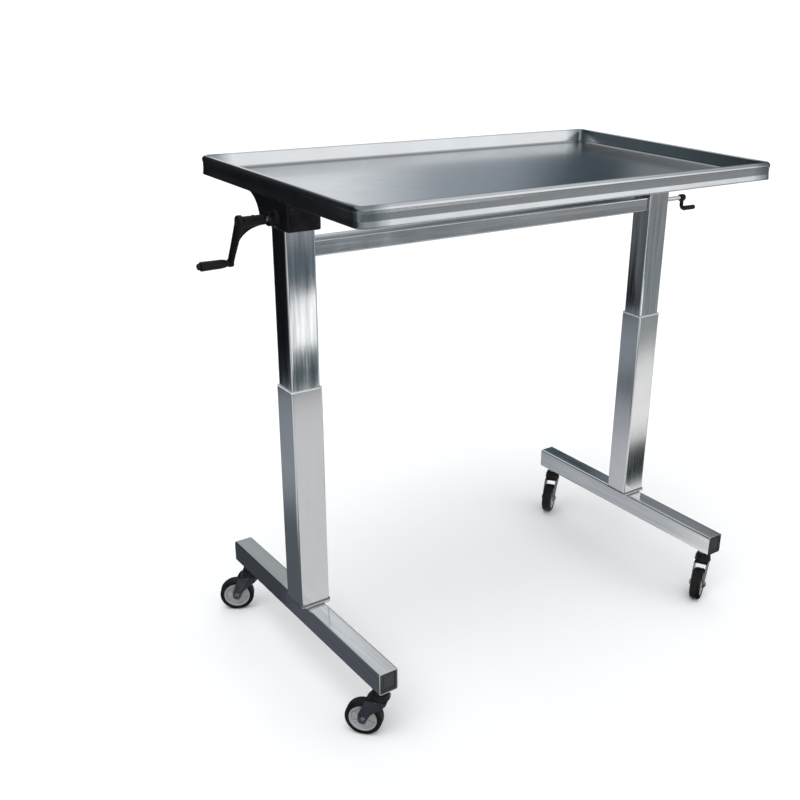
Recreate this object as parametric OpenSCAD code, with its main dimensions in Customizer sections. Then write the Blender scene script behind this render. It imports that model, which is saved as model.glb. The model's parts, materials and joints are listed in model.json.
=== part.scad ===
// Crank-lift over-bed instrument table: shallow steel tray on a bridge frame,
// two telescopic columns on T-feet with swivel castors, screw lift in each column.
// Millimetres, +Z up, +X along the length of the tray, crank at -X.

/* [Tray] */
// Length of the tray over its rim
tray_l = 1000; // [900:10:1100]
// Width of the tray over its rim
tray_w = 590; // [560:10:640]
// Height of the rim's top above the ground
table_h = 1025; // [1015:1:1035]
// Height of the rim's outer skirt
rim_h = 35; // [32:1:38]
// Width of the folded rim
rim_w = 11; // [9:1:13]
// Depth of the tray floor below the rim's top
well_d = 28; // [24:1:30]
// Thickness of the tray sheet
sheet = 1.5; // [1.2:0.1:2]

/* [Columns] */
// Distance from the middle to each column's axis
col_x = 458; // [450:1:460]
// Outer tube size along X
out_x = 66; // [66:1:70]
// Outer tube size along Y
out_y = 60; // [60:1:64]
// Height of the outer tube's top
out_top = 632; // [622:1:642]
// Inner tube size along X
in_x = 60; // [60:1:60]
// Inner tube size along Y
in_y = 54; // [54:1:54]
// Wall of both tubes
wall = 2; // [2:0.1:2.2]
// Height of the inner tube's top
in_top = 936; // [936:1:936]
// Height of the inner tube's lower end
in_bot = 390; // [386:1:394]

/* [Crossbar] */
// Height of the crossbar's underside
bar_z0 = 882; // [878:1:886]
// Height of the crossbar tube
bar_h = 31; // [28:1:32]
// Depth of the crossbar tube
bar_y = 40; // [36:1:44]

/* [Feet] */
// Length of each foot beam
foot_l = 610; // [580:10:640]
// Width of the foot beam
foot_w = 42; // [38:1:44]
// Height of the foot beam
foot_h = 48; // [46:1:50]
// Height of the beam's underside above the ground
foot_z = 115; // [115:1:115]
// Distance from the middle to each castor stem
stem_y = 276; // [270:1:278]

/* [Castors] */
// Wheel radius
wheel_r = 37.5; // [37.5:0.1:37.5]
// Tread width
wheel_w = 24; // [22:1:24]
// Offset of the wheel's axle behind the stem
trail = 33; // [30:1:34]
// Heading of the left front castor
head_lf = 130.5; // [0:0.5:360]
// Heading of the left rear castor
head_lr = 150; // [0:0.5:360]
// Heading of the right front castor
head_rf = 209; // [0:0.5:360]
// Heading of the right rear castor
head_rr = 216; // [0:0.5:360]

/* [Drive] */
// Height of the crank axis
drive_z = 955; // [955:1:955]
// Radius of the cross shaft
shaft_r = 6; // [6:0.1:6]
// Length of the crank arm, centre to centre
arm_l = 94; // [90:1:110]
// Lean of the resting crank arm from straight down, towards the rear
arm_a = 30; // [0:1:60]
// Radius of the lead screws
screw_r = 9; // [9:0.1:9]
// Bevel gear pitch radius
bev_r = 14; // [14:0.1:14]
// Number of bevel gear teeth
bev_n = 16; // [14:1:18]

/* [Hidden] */
$fn = 64;
e = 0.01;
tyre_rc = 5;                       // tyre shoulder radius
arm_x = -560;                      // middle plane of the crank arm
grip_x1 = -619;                    // outer end of the crank grip
x_min = grip_x1 - 4;               // crank pin cap
lev_x = 562;                       // plane of the brake lever's arm
x_max = 608;                       // outer end of the brake lever
lev_z = 898;                       // height of the brake spindle
// reach of a wheel along Y, seen from its own stem, for a heading a
function reach(a) = (wheel_r - tyre_rc) * abs(sin(a)) + (wheel_w / 2 - tyre_rc) * abs(cos(a)) + tyre_rc;
y_max = max(foot_l / 2, stem_y + trail * sin(head_lr) + reach(head_lr), stem_y + trail * sin(head_rr) + reach(head_rr));
y_min = min(-foot_l / 2, -stem_y + trail * sin(head_lf) - reach(head_lf), -stem_y + trail * sin(head_rf) - reach(head_rf));
// the origin is the middle of the footprint on the ground
org = [-(x_min + x_max) / 2, -(y_min + y_max) / 2, 0];
foot_top = foot_z + foot_h;
plate_t = 5;                       // column base plate
col_z = foot_top + plate_t;        // lower end of the outer tube
floor_z = table_h - well_d;        // top of the tray floor
pan_z = floor_z - sheet;           // underside of the tray floor
head_z1 = 991;                     // top of the head castings
steel = [0.78, 0.79, 0.80];
zinc = [0.70, 0.71, 0.72];
black = [0.06, 0.06, 0.07];
dark = [0.16, 0.17, 0.18];
plastic = [0.10, 0.10, 0.11];
brass = [0.75, 0.60, 0.30];

// ---------- helpers ----------
module placed() translate(org) children();
// rounded rectangle made of exact arcs
module rrect(l, w, r) {
  square([l - 2 * r, w], center = true);
  square([l, w - 2 * r], center = true);
  for (x = [-1, 1], y = [-1, 1]) translate([x * (l / 2 - r), y * (w / 2 - r)]) circle(r = r);
}
module ring2(l, w, r, t) difference() { rrect(l, w, r); rrect(l - 2 * t, w - 2 * t, r - t); }
// rectangular tube standing along Z
module tube_z(l, w, r, t, z0, z1) translate([0, 0, z0]) linear_extrude(z1 - z0) ring2(l, w, r, t);
// rod along X from x0 to x1
module rod_x(x0, x1, r) translate([min(x0, x1), 0, 0]) rotate([0, 90, 0]) cylinder(h = abs(x1 - x0), r = r);
module at_col(s) translate([s * col_x, 0, 0]) children();

// ---------- tray ----------
module tray_pan() placed() color(steel) {
  il = tray_l - 2 * rim_w + 2 * sheet - 1; iw = tray_w - 2 * rim_w + 2 * sheet - 1;
  // outer skirt, folded top and inner wall, then the floor
  translate([0, 0, table_h - rim_h]) linear_extrude(rim_h) ring2(tray_l, tray_w, 18, sheet);
  translate([0, 0, table_h - sheet]) linear_extrude(sheet) difference() {
    rrect(tray_l - sheet, tray_w - sheet, 17);
    rrect(il - sheet, iw - sheet, 8);
  }
  translate([0, 0, pan_z]) linear_extrude(well_d + sheet) ring2(il, iw, 9, sheet);
  translate([0, 0, pan_z]) linear_extrude(sheet) rrect(il - sheet, iw - sheet, 8);
}
// two folded channels under the tray floor
module tray_stiffeners() placed() color(steel)
  for (s = [-1, 1]) translate([0, s * 190, 0]) difference() {
    translate([-415, -18, pan_z - 16]) cube([830, 36, 16]);
    translate([-415 - 1, -16.2, pan_z - 16 - 1]) cube([832, 32.4, 15.2]);
  }
module tray_bracket(s) placed() color(steel) at_col(s) difference() {
  translate([-30, -215, head_z1]) cube([60, 430, pan_z - head_z1]);
  for (y = [-150, 150]) translate([0, y, head_z1 - 1]) cylinder(h = 10, r = 3);
}
module tray_brackets() { tray_bracket(-1); tray_bracket(1); }
// hexagon screws that hold the brackets to studs under the tray
module tray_screws() placed() color(zinc)
  for (s = [-1, 1], y = [-150, 150]) translate([s * col_x, y, 0]) {
    translate([0, 0, head_z1 - 4.2]) cylinder(h = 4.2, r = 5.8, $fn = 6);
    translate([0, 0, head_z1 - 1]) cylinder(h = pan_z - head_z1 + 1, r = 3);
  }

// ---------- bridge frame ----------
module crossbar() placed() color(steel)
  translate([-(col_x - in_x / 2), 0, bar_z0 + bar_h / 2]) rotate([0, 90, 0])
    linear_extrude(2 * col_x - in_x) ring2(bar_h, bar_y, 3, 2);
// hollow gear head with a spigot in the column and a curved rear rib on each side
module head(s) placed() at_col(s) {
  difference() {
    union() {
      translate([-34, -45, in_top]) cube([68, 90, head_z1 - in_top]);
      translate([0, 0, 905]) linear_extrude(in_top - 905 + e) rrect(in_x - 2 * wall, in_y - 2 * wall, 2.5);
      for (x = [-34, 28]) translate([x, 0, 0]) rotate([90, 0, 90]) linear_extrude(6) difference() {
        translate([40, in_top + 5]) square([106, head_z1 - in_top - 5]);
        translate([112, in_top + 2]) circle(r = 50);
        translate([112, in_top]) square([40, 52]);
      }
      if (s < 0) translate([0, 0, drive_z]) rod_x(-50, -34, 13);
    }
    // gear chamber
    translate([-28, -39, in_top + 4.5]) cube([56, 78, head_z1 - in_top - 10.5]);
    translate([0, 0, 904]) cylinder(h = 9, r = 10.5);
    translate([0, 0, 912]) cylinder(h = 12, r = 17.5);
    translate([0, 0, 923]) cylinder(h = 14, r = 12.5);
    translate([0, 0, in_top - 1]) cylinder(h = 8, r = 16);
    translate([0, 0, drive_z]) rod_x(-60, 60, 9);
  }
}
module left_head() color(black) head(-1);
module right_head() color(dark) head(1);
module inner_tube(s) placed() color(steel) at_col(s) difference() {
  tube_z(in_x, in_y, 4, wall, in_bot, in_top);
  if (s > 0) translate([0, 0, lev_z]) rod_x(20, 40, 5.06);
}
module left_inner_tube() inner_tube(-1);
module right_inner_tube() inner_tube(1);
// sliding plug at the lower end of the inner tube
module slider(s) placed() color(plastic) at_col(s) difference() {
  union() {
    translate([0, 0, in_bot - 10]) linear_extrude(10) rrect(out_x - 2 * wall - 0.6, out_y - 2 * wall - 0.6, 2);
    translate([0, 0, in_bot]) linear_extrude(40) rrect(in_x - 2 * wall, in_y - 2 * wall, 2);
  }
  translate([0, 0, in_bot - 11]) cylinder(h = 60, r = 16);
}
module column_sliders() { slider(-1); slider(1); }
module screw_bearing(s) placed() color(zinc) at_col(s) translate([0, 0, 912]) difference() {
  cylinder(h = 12, r = 17.5);
  translate([0, 0, -1]) cylinder(h = 14, r = 7.05);
  for (z = [-1, 11.5]) translate([0, 0, z]) difference() { cylinder(h = 1.5, r = 14.5); translate([0, 0, -1]) cylinder(h = 4, r = 10.5); }
}
module screw_bearings() { screw_bearing(-1); screw_bearing(1); }
// plain bushes that carry the cross shaft in the two heads
module shaft_bushes() placed() color(brass) translate([0, 0, drive_z]) {
  for (b = [[-col_x - 50, -col_x - 28], [-col_x + 28, -col_x + 34], [col_x - 34, col_x - 28], [col_x + 28, col_x + 34]])
    difference() { rod_x(b[0], b[1], 9); rod_x(b[0] - 1, b[1] + 1, shaft_r + 0.06); }
}
module brake_boss() placed() color(steel) translate([0, 0, lev_z]) difference() {
  union() { rod_x(col_x + in_x / 2, col_x + in_x / 2 + 14, 11); rod_x(col_x + in_x / 2, col_x + in_x / 2 + 3, 14); }
  rod_x(col_x, col_x + 60, 5.06);
}

// ---------- drive ----------
module cross_shaft() placed() color(steel) translate([0, 0, drive_z]) rod_x(arm_x - 4, col_x + 36, shaft_r);
// bevel wheel with its cone's apex at the origin, large end towards -Z
module bevel(hub) difference() {
  union() {
    translate([0, 0, -bev_r]) cylinder(h = 6, r1 = bev_r - 0.4, r2 = bev_r - 6.4);
    translate([0, 0, -bev_r - 4]) cylinder(h = 4 + e, r = bev_r - 0.4);
    translate([0, 0, -bev_r - hub]) cylinder(h = hub, r = 9.5);
  }
  for (i = [0:bev_n - 1]) rotate([0, 0, (i + 0.5) * 360 / bev_n]) translate([bev_r - 1.2, 0, -bev_r])
    rotate([0, -45, 0]) translate([-0.8, -0.7, -8]) cube([4, 1.4, 18]);
}
module pinion(s) placed() color(zinc) translate([s * col_x, 0, drive_z]) difference() {
  rotate([0, -90, 0]) bevel(12);
  rod_x(-10, 40, shaft_r);
}
module drive_pinions() { pinion(-1); pinion(1); }
module crank_arm() placed() color(black) translate([arm_x, 0, drive_z]) difference() {
  union() {
    rod_x(-4, 48, 9);
    rotate([arm_a, 0, 0]) translate([-5, 0, 0]) rotate([90, 0, 90]) linear_extrude(10) {
      circle(r = 12);
      translate([0, -arm_l]) circle(r = 7.5);
      polygon([[-12, 0], [12, 0], [9, -34], [7.5, -arm_l], [-7.5, -arm_l], [-9, -34]]);
    }
    // web between the sleeve and the arm
    rotate([arm_a, 0, 0]) rotate([90, 0, 0]) translate([0, 0, -4]) linear_extrude(8)
      polygon([[3, -5], [3, -42], [7, -38], [10, -27], [17, -17], [27, -10.5], [39, -5]]);
  }
  rod_x(-5.5, 49, shaft_r);
  rotate([arm_a, 0, 0]) translate([0, 0, -arm_l]) rod_x(-6, 6, 4);
  translate([26, 0, 5]) cylinder(h = 6, r = 2.5);
}
module crank_set_screw() placed() color(dark) translate([arm_x + 26, 0, drive_z + shaft_r]) difference() {
  cylinder(h = 3.6, r = 2.5);
  translate([0, 0, 2]) cylinder(h = 3, r = 1.3, $fn = 6);
}
module crank_pin() placed() color(steel) translate([arm_x, 0, drive_z]) rotate([arm_a, 0, 0]) translate([0, 0, -arm_l]) {
  rod_x(5, grip_x1 - arm_x - 1.5, 4);
  rod_x(grip_x1 - arm_x - 1, grip_x1 - arm_x - 4, 6);
  rod_x(-5, -8, 6.5);
}
module crank_grip() placed() color(black) translate([arm_x, 0, drive_z]) rotate([arm_a, 0, 0]) translate([0, 0, -arm_l])
  rotate([0, -90, 0]) rotate_extrude() polygon([[4.08, 8.5], [6.6, 8.5], [8, 11], [8.3, 22], [8.3, 38], [8.8, 51], [8, 55.5], [6.4, 57.5], [4.08, 57.5]]);
module lead_screw(s) placed() color(steel) at_col(s) {
  translate([0, 0, 372]) cylinder(h = 533, r = screw_r);
  translate([0, 0, 904]) cylinder(h = 22 + e, r = 7);
  translate([0, 0, 926]) cylinder(h = 18, r = 6);
  if (s > 0) translate([0, 0, lev_z - 9]) cylinder(h = 16 - 2, r = 15.7);
}
module left_lead_screw() lead_screw(-1);
module right_lead_screw() lead_screw(1);
module bevel_gear(s) placed() color(zinc) translate([s * col_x, 0, drive_z]) difference() {
  rotate([0, 0, 180 / bev_n]) bevel(15);
  translate([0, 0, -30]) cylinder(h = 40, r = 6);
}
module left_bevel_gear() bevel_gear(-1);
module right_bevel_gear() bevel_gear(1);

// ---------- screw brake on the right column ----------
module brake_spindle() placed() color(steel) translate([0, 0, lev_z]) rod_x(col_x + 20.4, lev_x + 4, 5);
module brake_lever() placed() color(black) translate([0, 0, lev_z]) difference() {
  union() {
    rod_x(lev_x - 8, lev_x + 6, 8);
    translate([lev_x, 0, -26]) cylinder(h = 26, r = 4.5);
    translate([lev_x, 0, -26]) sphere(r = 4.5);
    translate([0, 0, -26]) { rod_x(lev_x, x_max - 5, 4.5); rod_x(lev_x + 9, x_max, 5.5); }
  }
  rod_x(lev_x - 9, lev_x + 4, 5);
}
module brake_pad() placed() color(plastic) translate([0, 0, lev_z]) rod_x(col_x + 16.2, col_x + 20.4, 6);

// ---------- legs ----------
module outer_tube(s) placed() color(steel) at_col(s) tube_z(out_x, out_y, 4, wall, col_z, out_top);
module left_outer_tube() outer_tube(-1);
module right_outer_tube() outer_tube(1);
// liner in the top of the outer tube, with a thin rim on the tube's edge
module guide_collar(s) placed() color(zinc) at_col(s) {
  translate([0, 0, out_top]) linear_extrude(3) difference() { rrect(out_x, out_y, 4); rrect(in_x + 0.6, in_y + 0.6, 4.3); }
  translate([0, 0, out_top - 60]) linear_extrude(60 + e) difference() { rrect(out_x - 2 * wall, out_y - 2 * wall, 2); rrect(in_x + 0.6, in_y + 0.6, 4.3); }
}
module left_guide_collar() guide_collar(-1);
module right_guide_collar() guide_collar(1);
module base_plate(s) placed() color(steel) at_col(s) translate([0, 0, foot_top]) linear_extrude(plate_t) rrect(out_x, out_y + 8, 3);
module left_base_plate() base_plate(-1);
module right_base_plate() base_plate(1);
module foot_beam(s) placed() color(steel) at_col(s) difference() {
  translate([0, foot_l / 2, foot_z + foot_h / 2]) rotate([90, 0, 0]) linear_extrude(foot_l) ring2(foot_w, foot_h, 4, 2.5);
  for (y = [-stem_y, stem_y]) translate([0, y, foot_z - 1]) cylinder(h = 5, r = 6);
}
module left_foot_beam() foot_beam(-1);
module right_foot_beam() foot_beam(1);
// plugs let into both ends of a foot beam
module foot_caps(s) placed() color(plastic) at_col(s) for (m = [0, 1]) mirror([0, m, 0])
  translate([0, foot_l / 2 - 1, foot_z + foot_h / 2]) rotate([90, 0, 0]) difference() {
    linear_extrude(14) rrect(foot_w - 5, foot_h - 5, 1.5);
    translate([0, 0, 3]) linear_extrude(12) rrect(foot_w - 10, foot_h - 10, 1);
  }
module left_foot_caps() foot_caps(-1);
module right_foot_caps() foot_caps(1);
module nut_post(s) placed() color(steel) at_col(s) difference() {
  union() { translate([0, 0, col_z]) cylinder(h = 560 - col_z, r = 15); translate([0, 0, col_z]) cylinder(h = 5, r = 22); }
  translate([0, 0, col_z - 1]) cylinder(h = 600 - col_z, r = 12);
}
module left_nut_post() nut_post(-1);
module right_nut_post() nut_post(1);
module lead_nut(s) placed() color(brass) at_col(s) difference() {
  union() { translate([0, 0, 527]) cylinder(h = 34, r = 12); translate([0, 0, 560]) cylinder(h = 8, r = 15); }
  translate([0, 0, 520]) cylinder(h = 60, r = screw_r + 0.06);
}
module left_lead_nut() lead_nut(-1);
module right_lead_nut() lead_nut(1);

// ---------- castors ----------
// threaded stem with its nut, dust collar and riveted end
module castor_stems(s) placed() color(zinc) for (y = [-stem_y, stem_y]) translate([s * col_x, y, 0]) {
  translate([0, 0, 84]) cylinder(h = 60, r = 6);
  translate([0, 0, 78]) cylinder(h = 6.1, r = 9);
  translate([0, 0, 106]) cylinder(h = foot_z - 106, r = 11, $fn = 6);
  translate([0, 0, 99.5]) cylinder(h = 6.6, r = 16);
  translate([0, 0, foot_z + 2.5]) cylinder(h = 8, r = 10.5, $fn = 6);
}
module left_castor_stems() castor_stems(-1);
module right_castor_stems() castor_stems(1);
function heading(s, t) = s < 0 ? (t < 0 ? head_lf : head_lr) : (t < 0 ? head_rf : head_rr);
module at_castor(s, t) placed() translate([s * col_x, t * stem_y, 0]) rotate([0, 0, heading(s, t)]) children();
module at_axle(s, t) at_castor(s, t) translate([trail, 0, wheel_r]) rotate([90, 0, 0]) children();
module fork(s, t) at_castor(s, t) color(zinc) difference() {
  union() {
    translate([0, 0, 86]) cylinder(h = 13.2, r1 = 19, r2 = 17);
    translate([-17, -16, 84.2]) cube([40, 32, 2.6]);
    for (y = [-16, 13.5]) translate([0, y + 2.5, 0]) rotate([90, 0, 0]) linear_extrude(2.5) {
      polygon([[-17, 84.2 + 2.6], [23, 84.2 + 2.6], [33, 70], [trail + 9, wheel_r], [trail - 9, wheel_r], [-6, 70]]);
      translate([trail, wheel_r]) circle(r = 9);
    }
  }
  translate([0, 0, 70]) cylinder(h = 40, r = 6.06);
  translate([trail, 20, wheel_r]) rotate([90, 0, 0]) cylinder(h = 40, r = 4);
}
module axle(s, t) at_axle(s, t) color(steel) {
  translate([0, 0, -17]) cylinder(h = 34, r = 4);
  translate([0, 0, 16]) cylinder(h = 3.6, r = 7);
  translate([0, 0, -20]) cylinder(h = 4, r = 7, $fn = 6);
}
module tyre(s, t) at_axle(s, t) color(black) rotate_extrude($fn = 96) difference() {
  union() {
    translate([28.5, -wheel_w / 2 + tyre_rc]) square([wheel_r - 28.5, wheel_w - 2 * tyre_rc]);
    translate([28.5, -wheel_w / 2]) square([wheel_r - 28.5 - tyre_rc, wheel_w]);
    for (y = [-1, 1]) translate([wheel_r - tyre_rc, y * (wheel_w / 2 - tyre_rc)]) circle(r = tyre_rc, $fn = 48);
  }
  translate([20, -30]) square([8.5, 60]);
}
module hub(s, t) at_axle(s, t) color(zinc) difference() {
  rotate_extrude() polygon([[0, -13.2], [9, -13.2], [9, -6], [23, -5], [25.5, -10.5], [28.5, -10.5], [28.5, 10.5], [25.5, 10.5], [23, 5], [9, 6], [9, 13.2], [0, 13.2]]);
  translate([0, 0, -15]) cylinder(h = 30, r = 4.06);
}
module fork_left_front() fork(-1, -1);
module fork_left_rear() fork(-1, 1);
module fork_right_front() fork(1, -1);
module fork_right_rear() fork(1, 1);
module axle_left_front() axle(-1, -1);
module axle_left_rear() axle(-1, 1);
module axle_right_front() axle(1, -1);
module axle_right_rear() axle(1, 1);
module tyre_left_front() tyre(-1, -1);
module tyre_left_rear() tyre(-1, 1);
module tyre_right_front() tyre(1, -1);
module tyre_right_rear() tyre(1, 1);
module hub_left_front() hub(-1, -1);
module hub_left_rear() hub(-1, 1);
module hub_right_front() hub(1, -1);
module hub_right_rear() hub(1, 1);

tray_pan();
tray_stiffeners();
tray_brackets();
tray_screws();
crossbar();
left_head();
right_head();
left_inner_tube();
right_inner_tube();
column_sliders();
screw_bearings();
shaft_bushes();
brake_boss();
cross_shaft();
drive_pinions();
crank_arm();
crank_set_screw();
crank_pin();
crank_grip();
left_lead_screw();
left_bevel_gear();
right_lead_screw();
right_bevel_gear();
brake_spindle();
brake_lever();
brake_pad();
left_outer_tube();
left_guide_collar();
left_base_plate();
left_foot_beam();
left_foot_caps();
left_nut_post();
left_lead_nut();
left_castor_stems();
right_outer_tube();
right_guide_collar();
right_base_plate();
right_foot_beam();
right_foot_caps();
right_nut_post();
right_lead_nut();
right_castor_stems();
fork_left_front();
axle_left_front();
tyre_left_front();
hub_left_front();
fork_left_rear();
axle_left_rear();
tyre_left_rear();
hub_left_rear();
fork_right_front();
axle_right_front();
tyre_right_front();
hub_right_front();
fork_right_rear();
axle_right_rear();
tyre_right_rear();
hub_right_rear();
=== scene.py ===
import json
import math
import random
from math import atan2, cos, pi, radians, sin, sqrt

import bmesh
import bpy
import numpy as np
from mathutils import Matrix, Vector


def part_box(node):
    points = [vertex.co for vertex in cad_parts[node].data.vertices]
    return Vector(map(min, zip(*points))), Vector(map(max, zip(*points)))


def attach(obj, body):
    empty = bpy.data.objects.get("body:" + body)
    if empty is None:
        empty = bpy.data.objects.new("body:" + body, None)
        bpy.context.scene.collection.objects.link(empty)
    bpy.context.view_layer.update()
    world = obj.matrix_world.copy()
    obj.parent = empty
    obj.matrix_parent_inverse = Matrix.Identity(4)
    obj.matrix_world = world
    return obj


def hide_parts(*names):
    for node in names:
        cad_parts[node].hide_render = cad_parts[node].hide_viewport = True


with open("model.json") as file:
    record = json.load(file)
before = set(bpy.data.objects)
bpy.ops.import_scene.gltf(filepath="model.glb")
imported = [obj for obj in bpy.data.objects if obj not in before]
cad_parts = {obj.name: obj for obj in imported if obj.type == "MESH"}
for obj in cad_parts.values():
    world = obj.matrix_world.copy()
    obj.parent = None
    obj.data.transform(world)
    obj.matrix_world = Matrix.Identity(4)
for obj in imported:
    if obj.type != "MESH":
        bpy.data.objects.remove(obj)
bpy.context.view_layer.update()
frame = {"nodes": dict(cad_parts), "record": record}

# --------------------------------------------------------------------------
# The frame. Shapes below are written in millimetres from the middle of the
# tray on the ground, and go to the row frame (metres) in obj_from().
# --------------------------------------------------------------------------
_lo, _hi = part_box("tray_pan")
OX, OY = (_lo.x + _hi.x) / 2, (_lo.y + _hi.y) / 2
NODE_BODY = {n: b for b, ns in frame["record"]["behaviour"]["bodies"].items() for n in ns}
rng = random.Random(7)


def B(node):
    lo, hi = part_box(node)
    o = np.array([OX, OY, 0.0])
    return (np.array(lo) - o) * 1e3, (np.array(hi) - o) * 1e3


# --------------------------------------------------------------------------
# mesh helpers: every function returns (vertices, faces)
# --------------------------------------------------------------------------
def rr(l, w, r, n=6):
    r = max(min(r, l / 2 - 1e-3, w / 2 - 1e-3), 1e-3)
    pts = []
    for cx, cy, a0 in ((l / 2 - r, w / 2 - r, 0), (-l / 2 + r, w / 2 - r, 90), (-l / 2 + r, -w / 2 + r, 180), (l / 2 - r, -w / 2 + r, 270)):
        for i in range(n + 1):
            a = radians(a0 + 90 * i / n)
            pts.append((cx + r * cos(a), cy + r * sin(a)))
    return np.array(pts)


def at_z(p2, z):
    return np.c_[p2, np.full(len(p2), float(z))]


def loft(loops, cap0=True, cap1=True, ring=False):
    n, m = len(loops[0]), len(loops)
    V, F = np.vstack(loops), []
    for i in range(m if ring else m - 1):
        a, b = i * n, ((i + 1) % m) * n
        for j in range(n):
            k = (j + 1) % n
            F.append((a + j, a + k, b + k, b + j))
    if not ring:
        if cap0:
            F.append(tuple(reversed(range(n))))
        if cap1:
            F.append(tuple(range((m - 1) * n, m * n)))
    return V, F


def tube_rect(l, w, r, t, z0, z1, b=0.5, n=6, cuts=1):
    """Hollow rectangular tube along Z with rounded corners and deburred ends."""
    ri = max(r - t, 0.8)
    loops = [at_z(rr(l, w, r, n), z0 + b + (z1 - z0 - 2 * b) * i / cuts) for i in range(cuts + 1)]
    loops += [at_z(rr(l - 2 * b, w - 2 * b, r - b, n), z1), at_z(rr(l - 2 * t, w - 2 * t, ri, n), z1)]
    loops += [at_z(rr(l - 2 * t, w - 2 * t, ri, n), z0), at_z(rr(l - 2 * b, w - 2 * b, r - b, n), z0)]
    return loft(loops, ring=True)


def slab(l, w, r, z0, z1, b=0.6, n=6, seg=3):
    """Plate or block along Z with rounded corners and rounded top and bottom edges."""
    loops = []
    for i in range(seg + 1):
        a = pi / 2 * i / seg
        loops.append(at_z(rr(l - 2 * b * (1 - sin(a)), w - 2 * b * (1 - sin(a)), r - b * (1 - sin(a)), n), z0 + b * (1 - cos(a))))
    for i in range(seg + 1):
        a = pi / 2 * (1 - i / seg)
        loops.append(at_z(rr(l - 2 * b * (1 - sin(a)), w - 2 * b * (1 - sin(a)), r - b * (1 - sin(a)), n), z1 - b * (1 - cos(a))))
    return loft(loops)


def lathe(prof, n=64, close=False):
    V, F, rings = [], [], []
    for r, z in prof:
        if r < 1e-6:
            rings.append([len(V)])
            V.append((0, 0, z))
        else:
            rings.append(list(range(len(V), len(V) + n)))
            V += [(r * cos(2 * pi * i / n), r * sin(2 * pi * i / n), z) for i in range(n)]
    m = len(prof)
    for i in range(m if close else m - 1):
        P, Q = rings[i], rings[(i + 1) % m]
        if len(P) == 1 and len(Q) == 1:
            continue
        for j in range(n):
            k = (j + 1) % n
            if len(P) == 1:
                F.append((P[0], Q[k], Q[j]))
            elif len(Q) == 1:
                F.append((P[j], P[k], Q[0]))
            else:
                F.append((P[j], P[k], Q[k], Q[j]))
    return np.array(V, float), F


def hexa(af, z0, z1, c=0.93, n=48, top=True, bottom=False):
    """Hexagon nut or bolt head, half width across flats af, with chamfered corners."""
    loops = []
    th = [2 * pi * i / n for i in range(n)]
    hr = np.array([af / cos(((t + pi / 6) % (pi / 3)) - pi / 6) for t in th])
    cs = np.array([[cos(t), sin(t)] for t in th])
    flat = np.full(n, af * c)

    def lp(r, z):
        p = cs * r[:, None]
        return np.c_[p, z if np.ndim(z) else np.full(n, float(z))]
    if bottom:
        loops += [lp(flat, z0), lp(hr, z0 + (hr - flat) * 0.55)]
    else:
        loops += [lp(hr, z0)]
    if top:
        loops += [lp(hr, z1 - (hr - flat) * 0.55), lp(flat, z1)]
    else:
        loops += [lp(hr, z1)]
    return loft(loops)


def rot(V, axis, deg):
    a = radians(deg)
    c, s = cos(a), sin(a)
    R = {"X": [[1, 0, 0], [0, c, -s], [0, s, c]], "Y": [[c, 0, s], [0, 1, 0], [-s, 0, c]], "Z": [[c, -s, 0], [s, c, 0], [0, 0, 1]]}[axis]
    return np.asarray(V, float) @ np.array(R).T


def mv(V, x=0, y=0, z=0):
    return np.asarray(V, float) + np.array([x, y, z])


def join(*parts):
    V, F, n = [], [], 0
    for v, f in parts:
        V.append(np.asarray(v, float))
        F += [tuple(i + n for i in q) for q in f]
        n += len(v)
    return np.vstack(V), F


def extrude_x(poly, x0, x1):
    """Polygon of (y, z) points extruded along X."""
    P = np.array(poly, float)
    return loft([np.c_[np.full(len(P), float(x0)), P], np.c_[np.full(len(P), float(x1)), P]])


def extrude_y(poly, y0, y1):
    """Polygon of (x, z) points extruded along Y."""
    P = np.array(poly, float)
    return loft([np.c_[P[:, 0], np.full(len(P), float(y0)), P[:, 1]], np.c_[P[:, 0], np.full(len(P), float(y1)), P[:, 1]]])


def arc(cx, cz, r, a0, a1, n):
    return [(cx + r * cos(radians(a0 + (a1 - a0) * i / n)), cz + r * sin(radians(a0 + (a1 - a0) * i / n))) for i in range(n + 1)]


def sweep(path, r, n=10, closed=False, radii=None):
    """Round section swept along a path with parallel transport."""
    P = np.array(path, float)
    m = len(P)
    tang = np.array([(P[(i + 1) % m] - P[i - 1]) if closed or 0 < i < m - 1 else (P[min(i + 1, m - 1)] - P[max(i - 1, 0)]) for i in range(m)])
    tang /= np.linalg.norm(tang, axis=1)[:, None]
    u = np.cross(tang[0], [0.3, 0.5, 0.81])
    u /= np.linalg.norm(u)
    loops = []
    for i in range(m):
        u = u - tang[i] * (u @ tang[i])
        u /= np.linalg.norm(u)
        w = np.cross(tang[i], u)
        ri = radii[i] if radii is not None else r
        loops.append(np.array([P[i] + ri * (cos(2 * pi * k / n) * u + sin(2 * pi * k / n) * w) for k in range(n)]))
    if closed:
        # the ring joins the last loop straight to the first
        return loft(loops, ring=True)
    return loft(loops)


def bead(loop, r=1.6, step=1.6, seed=1):
    """Weld bead: overlapping ripples along a closed loop of points."""
    P = np.array(loop, float)
    seg = np.linalg.norm(np.roll(P, -1, 0) - P, axis=1)
    total = seg.sum()
    count = max(12, int(total / step))
    cum = np.r_[0, np.cumsum(seg)]
    pts = []
    for i in range(count):
        s = total * i / count
        k = min(int(np.searchsorted(cum, s, "right")) - 1, len(P) - 1)
        t = (s - cum[k]) / max(seg[k], 1e-9)
        pts.append(P[k] * (1 - t) + P[(k + 1) % len(P)] * t)
    g = random.Random(seed)
    radii = [r * (1.0 + 0.13 * (1 if i % 2 else -1) + 0.1 * (g.random() - 0.5)) for i in range(count)]
    return sweep(pts, r, 8, True, radii)


def shade(me, deg=32):
    me.polygons.foreach_set("use_smooth", [True] * len(me.polygons))
    me.set_sharp_from_angle(angle=radians(deg))
    me.update()


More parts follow.
